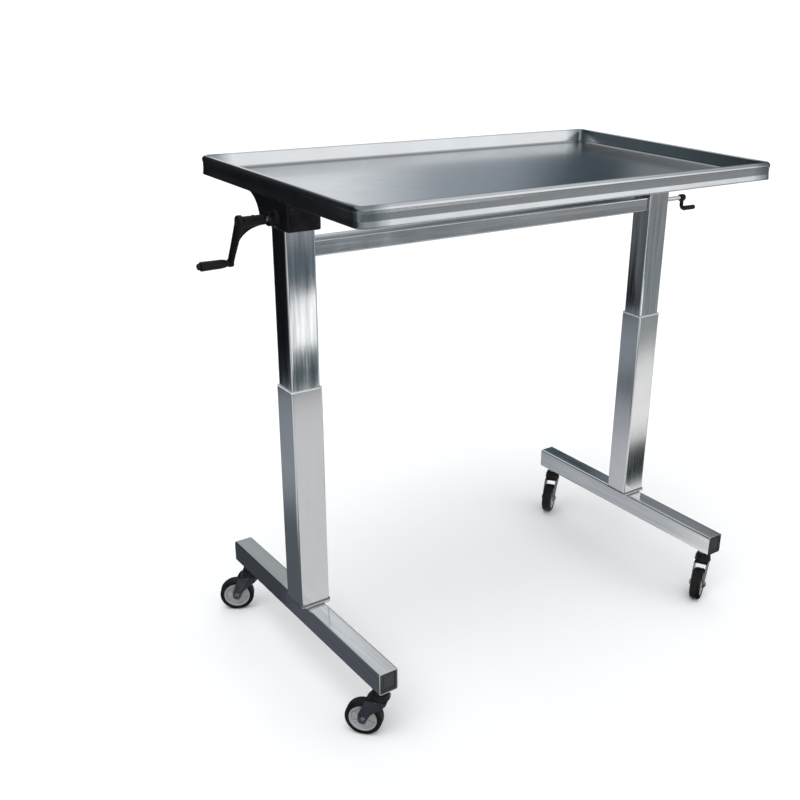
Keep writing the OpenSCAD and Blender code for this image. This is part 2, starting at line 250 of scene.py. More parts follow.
def obj_from(name, VF, mat, deg=32, weighted=True):
    V, F = VF
    me = bpy.data.meshes.new(name)
    me.from_pydata((np.asarray(V, float) * 0.001 + np.array([OX, OY, 0])).tolist(), [], [tuple(int(i) for i in f) for f in F])
    bm = bmesh.new()
    bm.from_mesh(me)
    bmesh.ops.remove_doubles(bm, verts=bm.verts, dist=2e-6)
    bmesh.ops.recalc_face_normals(bm, faces=bm.faces)
    bm.to_mesh(me)
    bm.free()
    shade(me, deg)
    ob = bpy.data.objects.new(name, me)
    bpy.context.scene.collection.objects.link(ob)
    me.materials.append(mat)
    if weighted:
        m = ob.modifiers.new("weighted", "WEIGHTED_NORMAL")
        m.keep_sharp = True
    return ob


def voxel(VF, size, smooth=5, ratio=None):
    """One smooth casting from overlapping closed shapes: voxel remesh, then smoothing. Returns (V, F) in mm."""
    V, F = VF
    me = bpy.data.meshes.new("tmp")
    me.from_pydata((np.asarray(V, float) * 0.001).tolist(), [], [tuple(int(i) for i in f) for f in F])
    bm = bmesh.new()
    bm.from_mesh(me)
    bmesh.ops.remove_doubles(bm, verts=bm.verts, dist=1e-6)
    bmesh.ops.recalc_face_normals(bm, faces=bm.faces)
    bm.to_mesh(me)
    bm.free()
    ob = bpy.data.objects.new("tmp", me)
    bpy.context.scene.collection.objects.link(ob)
    m = ob.modifiers.new("r", "REMESH")
    m.mode = "VOXEL"
    m.voxel_size = size * 0.001
    s = ob.modifiers.new("s", "SMOOTH")
    s.factor = 0.5
    s.iterations = smooth
    if ratio:
        d = ob.modifiers.new("d", "DECIMATE")
        d.ratio = ratio
    dg = bpy.context.evaluated_depsgraph_get()
    out = bpy.data.meshes.new_from_object(ob.evaluated_get(dg))
    W = np.array([v.co for v in out.vertices], float) * 1e3
    G = [tuple(p.vertices) for p in out.polygons]
    bpy.data.objects.remove(ob)
    bpy.data.meshes.remove(me)
    bpy.data.meshes.remove(out)
    return W, G


def carve(VF, cutters):
    """Cuts closed shapes out of a mesh with the exact boolean. All in mm."""
    def tmp(vf):
        me = bpy.data.meshes.new("tmpb")
        me.from_pydata((np.asarray(vf[0], float) * 0.001).tolist(), [], [tuple(int(i) for i in f) for f in vf[1]])
        bm = bmesh.new()
        bm.from_mesh(me)
        bmesh.ops.recalc_face_normals(bm, faces=bm.faces)
        bm.to_mesh(me)
        bm.free()
        ob = bpy.data.objects.new("tmpb", me)
        bpy.context.scene.collection.objects.link(ob)
        return ob
    base = tmp(VF)
    tools = [tmp(c) for c in cutters]
    for t in tools:
        m = base.modifiers.new("b", "BOOLEAN")
        m.operation = "DIFFERENCE"
        m.solver = "EXACT"
        m.object = t
    dg = bpy.context.evaluated_depsgraph_get()
    out = bpy.data.meshes.new_from_object(base.evaluated_get(dg))
    W = np.array([v.co for v in out.vertices], float) * 1e3
    G = [tuple(p.vertices) for p in out.polygons]
    for o in [base, *tools]:
        bpy.data.objects.remove(o)
    bpy.data.meshes.remove(out)
    return W, G


def stand(piece, node):
    """The piece rides on the node's body and stands for the node."""
    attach(piece, NODE_BODY[node])
    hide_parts(node)
    return piece


def go_with(piece, node):
    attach(piece, NODE_BODY[node])
    return piece


# --------------------------------------------------------------------------
# materials
# --------------------------------------------------------------------------
class Mat:
    def __init__(s, name):
        s.m = bpy.data.materials.new(name)
        s.m.use_nodes = True
        s.nt = s.m.node_tree
        s.b = next(n for n in s.nt.nodes if n.type == "BSDF_PRINCIPLED")
        s.tc = s.nt.nodes.new("ShaderNodeTexCoord")

    def link(s, a, b):
        s.nt.links.new(a, b)

    def vec(s, scale, rotation=(0, 0, 0)):
        mp = s.nt.nodes.new("ShaderNodeMapping")
        mp.inputs["Scale"].default_value = scale
        mp.inputs["Rotation"].default_value = [radians(a) for a in rotation]
        s.link(s.tc.outputs["Object"], mp.inputs["Vector"])
        return mp.outputs[0]

    def noise(s, vec, scale=1.0, detail=2.0, rough=0.5, dist=0.0):
        n = s.nt.nodes.new("ShaderNodeTexNoise")
        n.inputs["Scale"].default_value = scale
        n.inputs["Detail"].default_value = detail
        n.inputs["Roughness"].default_value = rough
        n.inputs["Distortion"].default_value = dist
        s.link(vec, n.inputs["Vector"])
        return n.outputs["Fac"]

    def voro(s, vec, scale=1.0, feature="F1"):
        n = s.nt.nodes.new("ShaderNodeTexVoronoi")
        n.feature = feature
        n.inputs["Scale"].default_value = scale
        s.link(vec, n.inputs["Vector"])
        return n.outputs["Distance"]

    def wave(s, vec, scale, axis="Z", dist=0.0):
        n = s.nt.nodes.new("ShaderNodeTexWave")
        n.bands_direction = axis
        n.inputs["Scale"].default_value = scale
        n.inputs["Distortion"].default_value = dist
        s.link(vec, n.inputs["Vector"])
        return n.outputs["Fac"]

    def rng(s, v, a, b, c, d):
        n = s.nt.nodes.new("ShaderNodeMapRange")
        for k, x in (("From Min", a), ("From Max", b), ("To Min", c), ("To Max", d)):
            n.inputs[k].default_value = x
        s.link(v, n.inputs["Value"])
        return n.outputs[0]

    def math(s, op, a, b):
        n = s.nt.nodes.new("ShaderNodeMath")
        n.operation = op
        for i, x in enumerate((a, b)):
            if isinstance(x, (int, float)):
                n.inputs[i].default_value = x
            else:
                s.link(x, n.inputs[i])
        return n.outputs[0]

    def mix(s, f, c1, c2):
        n = s.nt.nodes.new("ShaderNodeMix")
        n.data_type = "RGBA"
        s.link(f, n.inputs["Factor"])
        ins = [i for i in n.inputs if i.type == "RGBA"]
        for sock, c in zip(ins, (c1, c2)):
            if isinstance(c, tuple):
                sock.default_value = (*c[:3], 1)
            else:
                s.link(c, sock)
        return next(o for o in n.outputs if o.type == "RGBA")

    def bump(s, h, dist, strength=1.0, after=None):
        n = s.nt.nodes.new("ShaderNodeBump")
        n.inputs["Strength"].default_value = strength
        n.inputs["Distance"].default_value = dist
        s.link(h, n.inputs["Height"])
        if after is not None:
            s.link(after, n.inputs["Normal"])
        return n.outputs["Normal"]

    def out(s, colour, rough, normal, metallic=0.0, spec=None, coat=None, coat_rough=None):
        if isinstance(colour, tuple):
            s.b.inputs["Base Color"].default_value = (*colour, 1)
        else:
            s.link(colour, s.b.inputs["Base Color"])
        if isinstance(rough, float):
            s.b.inputs["Roughness"].default_value = rough
        else:
            s.link(rough, s.b.inputs["Roughness"])
        if normal is not None:
            s.link(normal, s.b.inputs["Normal"])
        s.b.inputs["Metallic"].default_value = metallic
        if spec is not None:
            s.b.inputs["Specular IOR Level"].default_value = spec
        if coat is not None:
            s.b.inputs["Coat Weight"].default_value = coat
            s.b.inputs["Coat Roughness"].default_value = coat_rough or 0.2
        s.m.diffuse_color = (*(colour if isinstance(colour, tuple) else (0.6, 0.6, 0.6)), 1)
        return s.m


def mul(c, k):
    return tuple(min(1.0, x * k) for x in c)


def steel(name, col=(0.66, 0.68, 0.69), rough=0.2, axis="Z", grain=1.2e-5, wave=2.5e-4, wave_scale=34, var=0.3, smudge=0.10, tone=0.08, streak=0.0, crease_shade_box=None, rear_shade=0.0):
    """Bare stainless or chromed steel with a brushed grain along one axis, long soft waves, smudges and hairline scratches."""
    s = Mat(name)
    k = {"X": 0, "Y": 1, "Z": 2}[axis]
    g = [850.0] * 3
    g[k] = 7.0
    w = [float(wave_scale)] * 3
    w[k] = 2.2
    sc = [240.0] * 3
    sc[k] = 3.0
    fine = s.noise(s.vec(g), 1, 3, 0.65)
    long = s.noise(s.vec(w), 1, 2, 0.45)
    spots = s.noise(s.vec((11, 11, 11)), 1, 5, 0.62, 0.4)
    scr = s.rng(s.noise(s.vec(sc, (3, 4, 2)), 1, 1, 0.4), 0.70, 0.78, 0.0, 1.0)
    c = s.mix(fine, mul(col, 1 - tone), mul(col, 1 + 0.6 * tone))
    c = s.mix(s.rng(spots, 0.35, 0.75, 0.0, 1.0), c, tuple(mul(col, 0.93)))
    if streak:
        st = [85.0] * 3
        st[k] = 5.0
        band = s.noise(s.vec(st), 1, 3, 0.5, 0.3)
        c = s.mix(s.rng(band, 0.40, 0.68, 0.0, 1.0), c, tuple(mul(col, 1 - streak)))
    if rear_shade:
        # painted shade: the rear half is painted darker than the front
        sy = s.nt.nodes.new("ShaderNodeSeparateXYZ")
        s.link(s.tc.outputs["Object"], sy.inputs[0])
        yy = s.math("ADD", sy.outputs[1], s.math("MULTIPLY", s.math("SUBTRACT", spots, 0.5), 0.12))
        c = s.mix(s.rng(yy, 0.02, 0.09, 0.0, rear_shade), c, (0.20, 0.23, 0.225))
    r = s.math("MULTIPLY", s.rng(fine, 0.25, 0.75, 1 - var, 1 + var), rough)
    r = s.math("ADD", r, s.rng(spots, 0.45, 0.8, 0.0, smudge))
    if crease_shade_box is not None:
        # painted shade: the colour is darkened in a band along the fold at the foot of the tray's walls and in the
        # welded corners, where shade falls; the corners are also rougher, where the polishing belt doesn't reach
        cx, cy, hx, hy, zf = crease_shade_box
        sp = s.nt.nodes.new("ShaderNodeSeparateXYZ")
        s.link(s.tc.outputs["Object"], sp.inputs[0])
        ax = s.math("SUBTRACT", s.math("ABSOLUTE", s.math("SUBTRACT", sp.outputs[0], cx), 0.0), hx)
        ay = s.math("SUBTRACT", s.math("ABSOLUTE", s.math("SUBTRACT", sp.outputs[1], cy), 0.0), hy)
        dx, dy = s.math("ADD", ax, 0.010), s.math("ADD", ay, 0.010)
        dist = s.math("SQRT", s.math("ADD", s.math("MULTIPLY", dx, dx), s.math("MULTIPLY", dy, dy)), 0.0)
        dist = s.math("ADD", dist, s.math("MULTIPLY", s.math("SUBTRACT", spots, 0.5), 0.030))
        corner_shade = s.rng(dist, 0.018, 0.052, 0.80, 0.0)
        inner = s.rng(s.math("MAXIMUM", ax, ay), -0.014, -0.0125, 1.0, 0.0)
        crease_shade = s.math("MULTIPLY", s.rng(sp.outputs[2], zf + 0.0001, zf + 0.0008, 0.0, 0.55), s.rng(sp.outputs[2], zf + 0.0030, zf + 0.0050, 1.0, 0.0))
        c = s.mix(s.math("MULTIPLY", crease_shade, inner), c, (0.15, 0.165, 0.175))
        c = s.mix(corner_shade, c, (0.13, 0.165, 0.175))
        r = s.math("ADD", r, s.math("MULTIPLY", corner_shade, 0.08))
    r = s.math("ADD", r, s.math("MULTIPLY", scr, 0.08))
    n = s.bump(long, wave)
    n = s.bump(fine, grain, after=n)
    n = s.bump(scr, 6e-6, after=n)
    return s.out(c, r, n, 1.0)


def zinc(name, col=(0.42, 0.43, 0.45), rough=0.34, bump=3e-5, metal=1.0):
    """Bright zinc plate on pressed steel: faint spangle, stains and small pits."""
    s = Mat(name)
    cell = s.voro(s.vec((160, 160, 160)), 1)
    st = s.noise(s.vec((26, 26, 26)), 1, 6, 0.6, 0.6)
    pit = s.noise(s.vec((700, 700, 700)), 1, 2, 0.5)
    c = s.mix(st, mul(col, 0.72), mul(col, 1.18))
    c = s.mix(s.rng(cell, 0.0, 0.8, 0.0, 0.35), c, tuple(mul(col, 1.1)))
    r = s.rng(st, 0.2, 0.8, rough - 0.09, rough + 0.16)
    n = s.bump(pit, bump)
    n = s.bump(st, 6e-5, after=n)
    return s.out(c, r, n, metal)


def cast_paint(name, col=(0.012, 0.012, 0.014), rough=0.32, peel=2.2e-4, wear=(0.30, 0.30, 0.31), amount=0.0, spec=0.16):
    """Semi-gloss paint over a casting: orange peel, dust in the low spots, rubbed through on worn edges."""
    s = Mat(name)
    lumps = s.noise(s.vec((95, 95, 95)), 1, 3, 0.5)
    peelt = s.noise(s.vec((420, 420, 420)), 1, 2, 0.5)
    dust = s.noise(s.vec((30, 30, 30)), 1, 6, 0.65, 0.3)
    c = s.mix(s.rng(dust, 0.4, 0.8, 0.0, 1.0), col, tuple(x * 1.8 + 0.002 for x in col))
    geo = s.nt.nodes.new("ShaderNodeNewGeometry")
    edge = s.math("MULTIPLY", s.rng(geo.outputs["Pointiness"], 0.53, 0.62, 0.0, 1.0), s.rng(s.noise(s.vec((60, 60, 60)), 1, 5, 0.7), 0.48, 0.62, 0.0, 1.0))
    c = s.mix(s.math("MULTIPLY", edge, amount), c, tuple(wear))
    r = s.rng(dust, 0.3, 0.75, rough - 0.06, rough + 0.2)
    n = s.bump(lumps, peel)
    n = s.bump(peelt, 5e-5, after=n)
    return s.out(c, r, n, 0.0, spec=spec)


def plastic(name, col, rough=0.45, grain=2.5e-5, size=900, spec=0.3):
    """Moulded plastic with a fine spark-eroded texture and handling marks."""
    s = Mat(name)
    a = s.noise(s.vec((size, size, size)), 1, 2, 0.5)
    d = s.noise(s.vec((22, 22, 22)), 1, 5, 0.6, 0.5)
    c = s.mix(d, mul(col, 0.75), tuple(x * 1.35 + 0.004 for x in col))
    r = s.rng(d, 0.25, 0.8, rough - 0.08, rough + 0.14)
    return s.out(c, r, s.bump(a, grain), 0.0, spec=spec)


def rubber(name):
    """Black tyre rubber: matt and dusty on the tread."""
    s = Mat(name)
    a = s.noise(s.vec((500, 500, 500)), 1, 3, 0.6)
    d = s.noise(s.vec((45, 45, 45)), 1, 6, 0.65, 0.8)
    c = s.mix(s.rng(d, 0.42, 0.78, 0.0, 1.0), (0.0045, 0.0045, 0.005), (0.018, 0.0175, 0.017))
    r = s.rng(d, 0.3, 0.8, 0.42, 0.7)
    n = s.bump(a, 6e-5)
    n = s.bump(d, 1.5e-4, after=n)
    return s.out(c, r, n, 0.0, spec=0.2)


def bronze(name, col=(0.60, 0.43, 0.18)):
    s = Mat(name)
    a = s.noise(s.vec((900, 900, 60)), 1, 3, 0.6)
    d = s.noise(s.vec((50, 50, 50)), 1, 5, 0.6)
    c = s.mix(d, mul(col, 0.6), mul(col, 1.15))
    return s.out(c, s.rng(a, 0.2, 0.8, 0.24, 0.42), s.bump(a, 2e-5), 1.0)


def threaded(name, col=(0.55, 0.56, 0.57)):
    """Lead screw steel with the ridges of a square thread and a film of grease."""
    s = Mat(name)
    t = s.wave(s.vec((1, 1, 1)), 40.0, "Z")
    d = s.noise(s.vec((60, 60, 60)), 1, 4, 0.6)
    c = s.mix(d, mul(col, 0.35), mul(col, 1.0))
    return s.out(c, s.rng(d, 0.3, 0.7, 0.16, 0.4), s.bump(s.rng(t, 0.35, 0.6, 0.0, 1.0), 1.2e-3), 1.0)


def weld(name):
    s = Mat(name)
    a = s.noise(s.vec((300, 300, 300)), 1, 4, 0.6)
    d = s.noise(s.vec((70, 70, 70)), 1, 4, 0.6)
    c = s.mix(d, (0.13, 0.13, 0.135), (0.32, 0.32, 0.33))
    return s.out(c, s.rng(a, 0.2, 0.8, 0.25, 0.5), s.bump(a, 1.5e-4), 1.0)


_tl, _th = B("tray_pan")
TRAY_CREASE_SHADE_BOX = ((_tl[0] + _th[0]) / 2000 + OX, (_tl[1] + _th[1]) / 2000 + OY, (_th[0] - _tl[0]) / 2000, (_th[1] - _tl[1]) / 2000, (_th[2] - 28.0) / 1000)
# the tray's steel takes painted shade along the fold at the foot of its walls and in its corners
M_TRAY = steel("tray_brushed", (0.605, 0.620, 0.632), 0.16, "X", grain=4e-6, wave=1.0e-4, wave_scale=9, smudge=0.05, tone=0.035, crease_shade_box=TRAY_CREASE_SHADE_BOX)
M_TRAY_UNDER = steel("tray_under", (0.60, 0.61, 0.62), 0.34, "X", grain=3e-5, wave=1.5e-4)
M_INNER = steel("chrome_tube", (0.80, 0.82, 0.835), 0.085, "Z", grain=5e-6, wave=3.2e-4, wave_scale=46, var=0.4, smudge=0.05, streak=0.34)
M_OUTER = steel("satin_tube", (0.76, 0.765, 0.77), 0.15, "Z", grain=1.0e-5, wave=1.6e-4, wave_scale=30, var=0.25, smudge=0.05)
M_BAR = steel("crossbar_steel", (0.70, 0.72, 0.735), 0.14, "X", grain=8e-6, wave=2.8e-4, wave_scale=42, streak=0.22)
M_BEAM = steel("foot_steel", (0.70, 0.715, 0.725), 0.12, "Y", grain=7e-6, wave=2.6e-4, wave_scale=36, streak=0.16)
# the left foot's steel has its rear half painted darker: painted shade
M_BEAM_L = steel("foot_steel_left", (0.70, 0.715, 0.725), 0.12, "Y", grain=7e-6, wave=2.6e-4, wave_scale=36, streak=0.16, rear_shade=0.75)
M_PLATE = steel("plate_steel", (0.62, 0.63, 0.64), 0.26, "X", grain=2e-5, wave=1e-4)
M_ZINC = zinc("bright_zinc", (0.50, 0.51, 0.53), 0.30)
M_FORK = zinc("fork_zinc", (0.24, 0.25, 0.26), 0.30)
M_HUB = zinc("hub_zinc", (0.42, 0.43, 0.435), 0.40, metal=0.25)
M_BLACK = cast_paint("black_paint", (0.0035, 0.0035, 0.0045), 0.30, amount=0.25)
M_HEAD = zinc("head_cast", (0.30, 0.315, 0.33), 0.36)
M_GRIP = plastic("grip_plastic", (0.004, 0.004, 0.005), 0.34, 2e-5, 700, 0.18)
M_PLASTIC = plastic("black_plastic", (0.030, 0.031, 0.034), 0.42)
M_LINER = plastic("liner_plastic", (0.55, 0.56, 0.57), 0.4)
M_COLLAR = cast_paint("collar_black", (0.010, 0.010, 0.011), 0.26)
M_BRIGHT = steel("bright_shaft", (0.70, 0.71, 0.72), 0.12, "X", grain=8e-6, wave=5e-5, wave_scale=60)
M_AXLE = steel("axle_steel", (0.42, 0.43, 0.45), 0.24, "Z", grain=1e-5, wave=5e-5, wave_scale=90)
M_GEAR = steel("gear_steel", (0.40, 0.40, 0.41), 0.32, "Z", grain=2e-5, wave=4e-5, wave_scale=200)
M_BRONZE = bronze("bronze")
M_BUSH = bronze("oiled_bronze", (0.030, 0.026, 0.020))
M_PIN = steel("blackened_pin", (0.045, 0.046, 0.050), 0.30, "X", grain=1e-5, wave=5e-5, wave_scale=60)
M_THREAD = threaded("screw_steel")
M_RUBBER = rubber("tyre_rubber")
M_WELD = weld("weld_metal")
M_POST = steel("post_steel", (0.50, 0.50, 0.51), 0.36, "Z", grain=3e-5, wave=1e-4)

# --------------------------------------------------------------------------
# tray
# --------------------------------------------------------------------------
tl, th = B("tray_pan")
TL, TW, Z1, Z0 = th[0] - tl[0], th[1] - tl[1], th[2], tl[2]
FLOOR = Z1 - 28.0
SHEET = 1.5
RC = 18.0


def tray_loop(u, z, n=10):
    return at_z(rr(TL - 2 * u, TW - 2 * u, max(RC - u, 7.5), n), z)


loops = []
for u, dz in ((210, -0.7), (120, -0.6), (60, -0.35), (30, -0.08), (21.5, 0.0)):
    loops.append(tray_loop(u, FLOOR + dz))
for a in (75, 60, 45, 30, 17):
    loops.append(tray_loop(21.5 - 4 * cos(radians(a)), FLOOR + 4 - 4 * sin(radians(a))))
loops.append(tray_loop(11.6, Z1 - 3.4))
for a in (20, 45, 70, 90):
    loops.append(tray_loop(8.6 + 3 * cos(radians(a)), Z1 - 3 + 3 * sin(radians(a))))
for a in (75, 60, 45, 30, 15, 0):
    loops.append(tray_loop(8 - 8 * cos(radians(a)), Z1 - 8 + 8 * sin(radians(a))))
for u, z in ((0.5, Z1 - 10.2), (1.0, Z1 - 11.2), (1.2, Z1 - 12.6), (1.2, Z0 + 11.6), (1.1, Z0 + 10.6), (0.1, Z0 + 2.6), (0.0, Z0 + 1.6), (0.05, Z0 + 0.8)):
    loops.append(tray_loop(u, z))
loops.append(tray_loop(0.4, Z0))
loops.append(tray_loop(SHEET + 2.2, Z0))
loops.append(tray_loop(SHEET + 2.6, Z0 + 0.9))
loops.append(tray_loop(SHEET + 1.2, Z0 + 2.2))
loops.append(tray_loop(SHEET + 1.2, Z1 - 10))
for a in (15, 40, 65, 90):
    loops.append(tray_loop(8.6 - 6.0 * cos(radians(a)), Z1 - 8 + 6.4 * sin(radians(a))))
loops.append(tray_loop(9.6, Z1 - 3.6))
loops.append(tray_loop(15.0, FLOOR + 4))
for a in (20, 45, 70, 90):
    loops.append(tray_loop(21.5 - 5.6 * cos(radians(a)), FLOOR + 4 - 5.5 * sin(radians(a))))
for u, dz in ((30, -1.58), (60, -1.85), (120, -2.1), (210, -2.2)):
    loops.append(tray_loop(u, FLOOR + dz))
tray = stand(obj_from("tray_shell", loft(loops), M_TRAY, 40), "tray_pan")

# two folded channels under the floor
slo, shi = B("tray_stiffeners")


def channel(yc, w, z0, z1, t, x0, x1):
    h, r = w / 2, 2.4
    o = [(-h, z0)] + [(yc_, z_) for yc_, z_ in arc(-h + r, z1 - r, r, 180, 90, 4)] + [(a, b) for a, b in arc(h - r, z1 - r, r, 90, 0, 4)] + [(h, z0)]
    ri = r - t * 0.6
    i = [(h - t, z0)] + [(a, b) for a, b in arc(h - t - ri, z1 - t - ri, ri, 0, 90, 4)] + [(a, b) for a, b in arc(-h + t + ri, z1 - t - ri, ri, 90, 180, 4)] + [(-h + t, z0)]
    return extrude_x([(y + yc, z) for y, z in o + i], x0, x1)


sw = 36
stiff = join(channel(shi[1] - sw / 2, sw, slo[2], shi[2] - 0.6, 1.8, slo[0], shi[0]), channel(slo[1] + sw / 2, sw, slo[2], shi[2] - 0.6, 1.8, slo[0], shi[0]))
stand(obj_from("tray_channels", stiff, M_TRAY_UNDER), "tray_stiffeners")

# brackets and their screws
blo, bhi = B("tray_brackets")
glo, ghi = B("tray_screws")
parts = []
scr = []
CX = (B("right_outer_tube")[0][0] + B("right_outer_tube")[1][0]) / 2
for s in (-1, 1):
    V, F = slab(60, bhi[1] - blo[1], 5, blo[2], bhi[2] - 0.1, 0.5)
    parts.append((mv(V, s * CX), F))
    for y in (glo[1] + 5.8, ghi[1] - 5.8):
        y = (150 if y > 0 else -150)
        V, F = lathe([(0, blo[2] - 1.2), (8.2, blo[2] - 1.2), (8.5, blo[2] - 0.9), (8.5, blo[2] - 0.02), (0, blo[2] - 0.02)], 36)
        scr.append((mv(V, s * CX, y), F))
        V, F = hexa(5.0, glo[2] + 0.1, blo[2] - 1.1, bottom=True, top=False)
        scr.append((mv(V, s * CX, y), F))
stand(obj_from("tray_mount_straps", join(*parts), M_PLATE), "tray_brackets")
stand(obj_from("tray_hex_screws", join(*scr), M_ZINC), "tray_screws")

# --------------------------------------------------------------------------
# columns, crossbar, feet
# --------------------------------------------------------------------------
for side, s in (("left", -1), ("right", 1)):
    lo, hi = B(side + "_inner_tube")
    lx, ly = hi[0] - lo[0], hi[1] - lo[1]
    VF = tube_rect(lx, ly, 4.5, 2, lo[2], hi[2], 0.4, 7, 4)
    VF = (mv(VF[0], s * CX), VF[1])
    if s > 0:
        spl, sph = B("brake_spindle")
        V, F = lathe([(0, -12), (5.1, -12), (5.1, 12), (0, 12)], 32)
        VF = carve(VF, [(mv(rot(V, "Y", 90), s * CX + lx / 2, (spl[1] + sph[1]) / 2, (spl[2] + sph[2]) / 2), F)])
    stand(obj_from(side + "_inner_column", VF, M_INNER, 30), side + "_inner_tube")

    lo, hi = B(side + "_outer_tube")
    lx, ly = hi[0] - lo[0], hi[1] - lo[1]
    VF = tube_rect(lx, ly, 4.5, 2, lo[2], hi[2], 0.5, 7, 4)
    stand(obj_from(side + "_outer_column", (mv(VF[0], s * CX), VF[1]), M_OUTER, 30), side + "_outer_tube")

    # base plate with its fillet welds
    plo, phi = B(side + "_base_plate")
    V, F = slab(phi[0] - plo[0], phi[1] - plo[1], 3.5, plo[2], phi[2], 0.7)
    stand(obj_from(side + "_column_foot_plate", (mv(V, s * CX), F), M_PLATE), side + "_base_plate")
    w1 = bead(mv(at_z(rr(lx + 1.2, ly + 1.2, 5, 8), phi[2] + 0.7), s * CX), 1.5, 1.5, 11)
    fl, fh = B(side + "_foot_beam")
    w2 = bead(mv(at_z(rr(fh[0] - fl[0] - 6, phi[1] - plo[1] + 1.6, 2, 8), fh[2] + 0.4), s * CX), 1.3, 1.5, 12)
    go_with(obj_from(side + "_foot_welds", join(w1, w2), M_WELD, 60), side + "_base_plate")

    # liner with a thin rim on the tube's mouth
    clo, chi = B(side + "_guide_collar")
    gap = 0.6
    il, ih = B(side + "_inner_tube")
    il_, iw_ = ih[0] - il[0] + gap, ih[1] - il[1] + gap
    zt = hi[2]
    lp = [at_z(rr(lx - 4.2, ly - 4.2, 2.4, 7), clo[2] + 0.5), at_z(rr(lx - 4.2, ly - 4.2, 2.4, 7), zt), at_z(rr(lx - 0.6, ly - 0.6, 4.2, 7), zt + 0.05),
          at_z(rr(lx, ly, 4.5, 7), zt + 0.6), at_z(rr(lx, ly, 4.5, 7), chi[2] - 0.9), at_z(rr(lx - 1.6, ly - 1.6, 4, 7), chi[2]),
          at_z(rr(il_ + 1.2, iw_ + 1.2, 4.6, 7), chi[2]), at_z(rr(il_, iw_, 4.7, 7), chi[2] - 0.7), at_z(rr(il_, iw_, 4.7, 7), clo[2] + 0.5)]
    V, F = loft(lp, ring=True)
    stand(obj_from(side + "_mouth_liner", (mv(V, s * CX), F), M_LINER), side + "_guide_collar")

    # foot beam and its end plugs
    bw, bh, bl = fh[0] - fl[0], fh[2] - fl[2], fh[1] - fl[1]
    V, F = tube_rect(bw, bh, 4.5, 2.5, 0, bl, 0.5, 7, 4)
    V = mv(rot(V, "X", 90), s * CX, fh[1], (fh[2] + fl[2]) / 2)
    stand(obj_from(side + "_foot_tube", (V, F), M_BEAM_L if s < 0 else M_BEAM, 30), side + "_foot_beam")
    caps = []
    for m in (-1, 1):
        a, b = bw - 5.2, bh - 5.2
        lp = [at_z(rr(a, b, 1.8), -13), at_z(rr(a, b, 1.8), -0.7), at_z(rr(a - 1.4, b - 1.4, 1.6), 0), at_z(rr(a - 5, b - 5, 1.6), 0), at_z(rr(a - 6.4, b - 6.4, 1.4), -0.9),
              at_z(rr(a - 7, b - 7, 1.4), -2.2), at_z(rr(a - 17, b - 17, 3), -2.2), at_z(rr(a - 18.5, b - 18.5, 3), -1.2), at_z(rr(a - 24, b - 24, 2), -1.0)]
        V, F = loft(lp)
        V = rot(V, "X", 90 if m < 0 else -90)
        caps.append((mv(V, s * CX, m * (bl / 2 - 1), (fh[2] + fl[2]) / 2), F))
    stand(obj_from(side + "_foot_plugs", join(*caps), M_PLASTIC), side + "_foot_caps")

clo, chi = B("crossbar")
V, F = tube_rect(chi[2] - clo[2], chi[1] - clo[1], 3.5, 2, 0.4, chi[0] - clo[0] - 0.4, 0.3, 7, 6)
V = mv(rot(V, "Y", 90), clo[0], (clo[1] + chi[1]) / 2, (clo[2] + chi[2]) / 2)
stand(obj_from("crossbar_tube", (V, F), M_BAR, 30), "crossbar")
ws = []
for s in (-1, 1):
    lp = rot(at_z(rr(chi[2] - clo[2] + 0.8, chi[1] - clo[1] + 0.8, 4, 8), 0), "Y", 90)
    ws.append(bead(mv(lp, s * (chi[0] - 0.9), (clo[1] + chi[1]) / 2, (clo[2] + chi[2]) / 2), 1.5, 1.5, 21 + s))
go_with(obj_from("crossbar_welds", join(*ws), M_WELD, 60), "crossbar")

# --------------------------------------------------------------------------
# gear heads: castings with a concave rib on each cheek
# --------------------------------------------------------------------------
slo, shi = B("cross_shaft")
DZ, DY = (slo[2] + shi[2]) / 2, (slo[1] + shi[1]) / 2
itop = B("left_inner_tube")[1][2]


